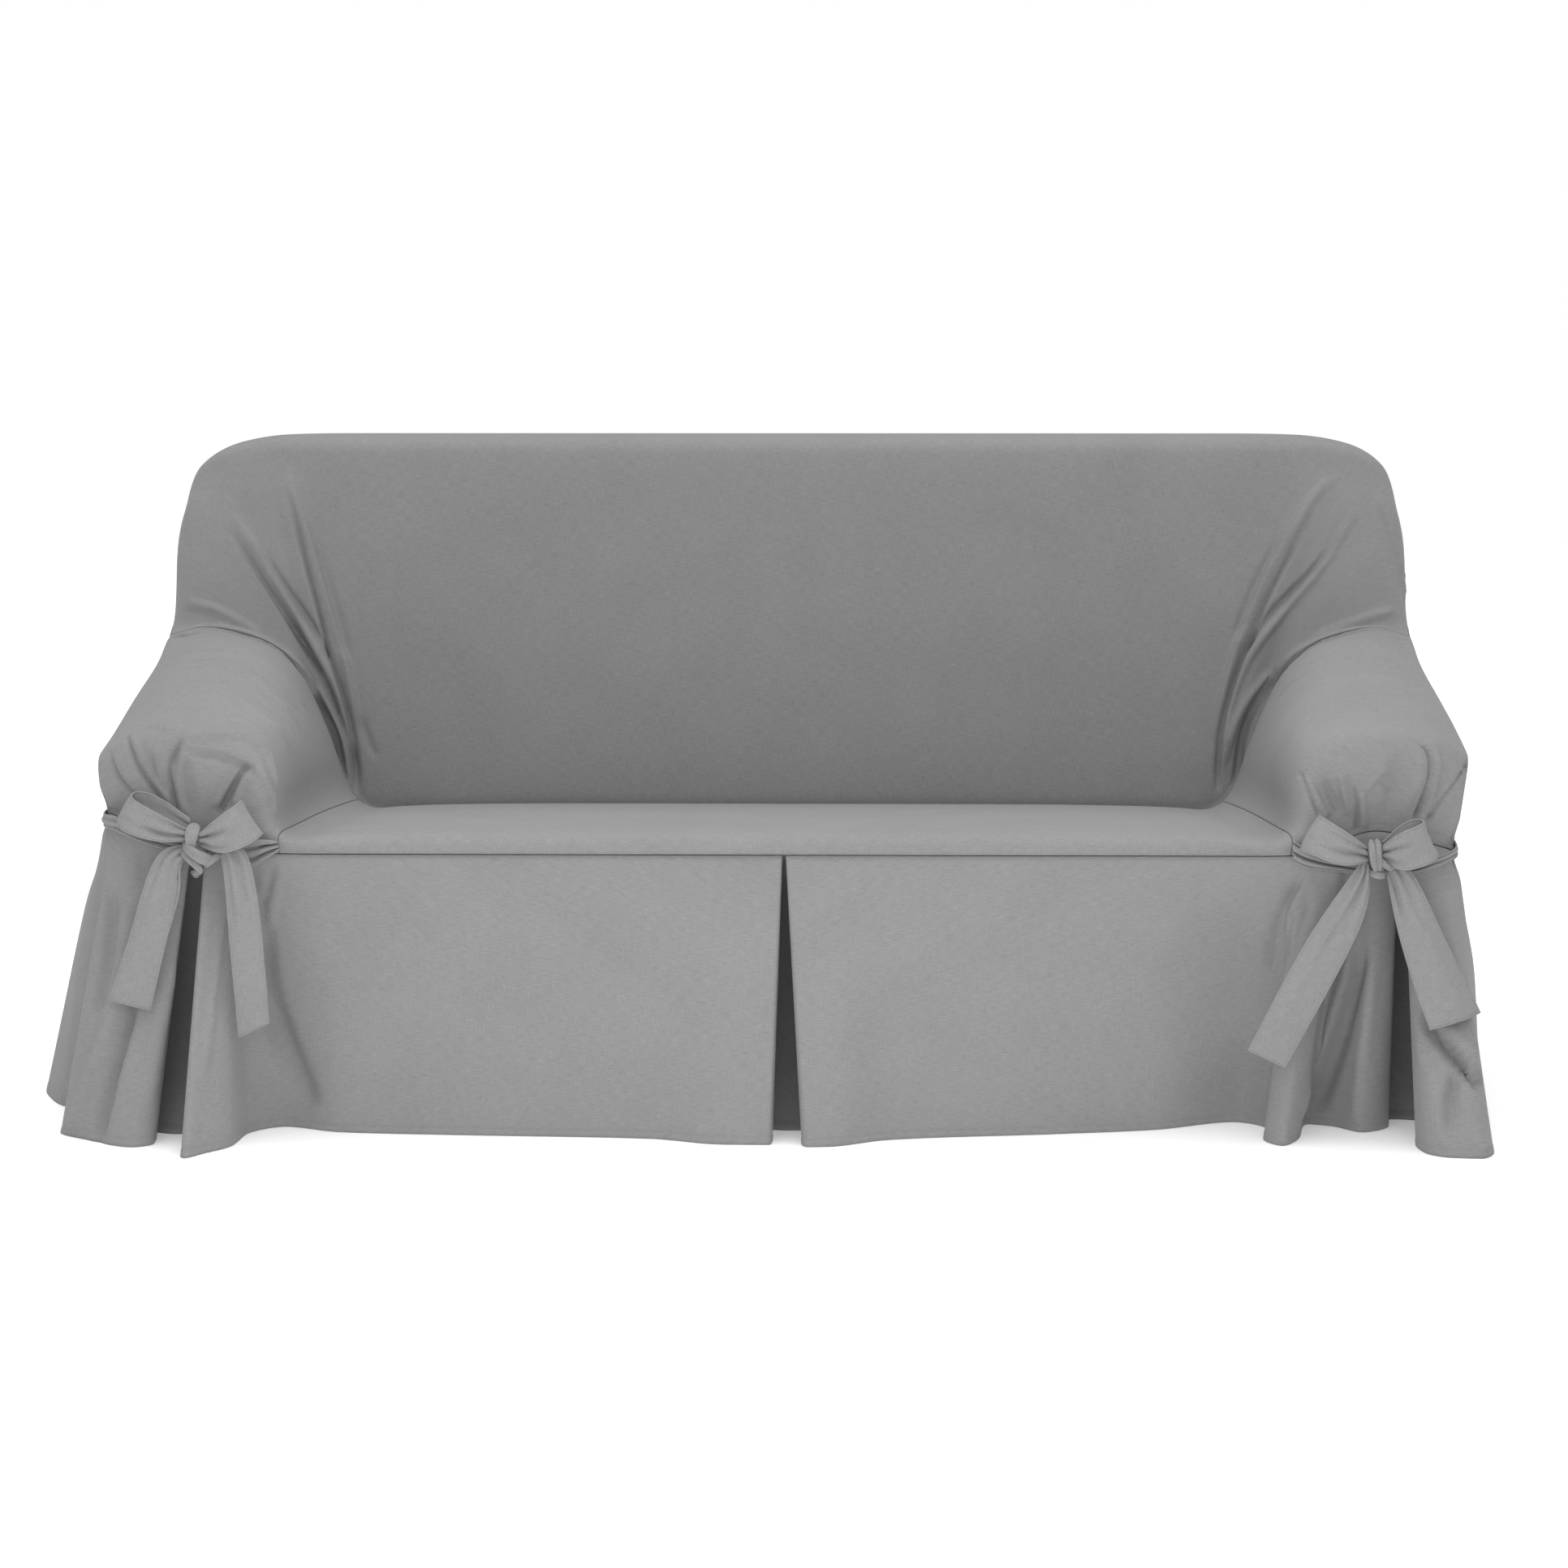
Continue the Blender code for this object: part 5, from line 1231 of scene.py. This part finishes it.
def build_sky():
    """White behind everything, and light that comes mostly from straight above."""
    world = bpy.data.worlds.new("studio")
    world.use_nodes = True
    bpy.context.scene.world = world
    tree = world.node_tree
    way = add_node(tree, "TexCoord", {})
    split = add_node(tree, "SeparateXYZ", {"Vector": way.outputs["Generated"]})
    level = split.outputs["Z"]
    for operation, number in (("MAXIMUM", 0.0), ("POWER", SKY_FOCUS), ("MULTIPLY", SKY_STRENGTH)):
        level = add_node(tree, "Math", {0: level, 1: number}, operation=operation).outputs["Value"]
    around = tree.nodes["Background"]
    fill_inputs(tree, around, {"Color": WHITE, "Strength": level})
    seen = add_node(tree, "Background", {"Color": WHITE, "Strength": 1.0})
    rays = add_node(tree, "LightPath", {})
    inputs = {"Fac": rays.outputs["Is Camera Ray"]}
    inputs.update({1: around.outputs["Background"], 2: seen.outputs["Background"]})
    either = add_node(tree, "MixShader", inputs)
    fill_inputs(tree, tree.nodes["World Output"], {"Surface": either.outputs["Shader"]})


def add_area_light(name, place, aim, size, power):
    light = bpy.data.lights.new(name, "AREA")
    light.shape = "RECTANGLE"
    light.size, light.size_y = size
    light.energy = power
    lamp = add_thing(name, light)
    lamp.location = place
    x, y, z = np.array(aim) - np.array(place)
    lamp.rotation_euler = (np.arctan2(np.hypot(x, y), -z), 0.0, np.pi + np.arctan2(x, -y))
    lamp.visible_camera = False


def build_studio():
    """Floor, soft light and the camera."""
    build_floor()
    build_sky()
    for name, light in LIGHTS.items():
        add_area_light(name, *light)
    camera = bpy.data.cameras.new("camera")
    camera.lens = CAMERA_LENS
    camera.sensor_width = CAMERA_SENSOR
    camera.clip_end = CAMERA_FAR
    eye = add_thing("camera", camera)
    eye.location = CAMERA_PLACE
    eye.rotation_euler = (np.radians(90.0 - CAMERA_DOWN), 0.0, np.radians(CAMERA_LEFT))
    bpy.context.scene.camera = eye
    bpy.context.scene.view_settings.view_transform = "Standard"


def wear(piece, node):
    """The piece rides on the part's one body and takes the place of its node, which it hides."""
    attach(piece, "root")
    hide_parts(node)


def add_panels(cloth, thread):
    """The five panels, with the stitches of their waist seam and hems."""
    sheet = whole_sheet()
    normals = sheet.normals()
    rows = []
    for row in sheet.rows:
        outward = normals[row]
        rows.append((sheet.points[row] + 0.5 * CLOTH * outward, outward))
    seams = add_stitches("panel_stitches", rows, thread)
    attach(seams, "root")
    for panel in PANELS:
        piece = add_mesh(panel + "_cloth", *panel_shell(sheet, panel), cloth)
        wear(piece, panel)


def add_bow(side, bow, knot, cloth, thread):
    """One arm's ties and their knot, with the stitches along the ties' edges."""
    stitches = []
    for name, rows in bow.items():
        piece_name = f"{name}_{side}"
        points, faces, spots, sewn = strap_shell(piece_name, rows)
        stitches += sewn
        piece = add_mesh(f"tie_{piece_name}_cloth", points, faces, spots, cloth)
        wear(piece, f"tie_{piece_name}")
    sewing = add_stitches(f"tie_stitches_{side}", stitches, thread)
    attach(sewing, "root")
    piece = add_mesh(f"bow_knot_{side}_cloth", *knot_shell(*knot), cloth)
    wear(piece, f"bow_knot_{side}")


def main():
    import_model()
    cover = cloth_material("cotton_cover", CLOTH_TINT)
    strap = cloth_material("cotton_tie", CLOTH_TINT)
    thread = plain_material("cotton_thread", THREAD_TINT, THREAD_ROUGHNESS)
    add_panels(cover, thread)
    add_bow("left", LEFT_BOW, LEFT_KNOT, strap, thread)
    add_bow("right", RIGHT_BOW, RIGHT_KNOT, strap, thread)
    build_studio()


main()
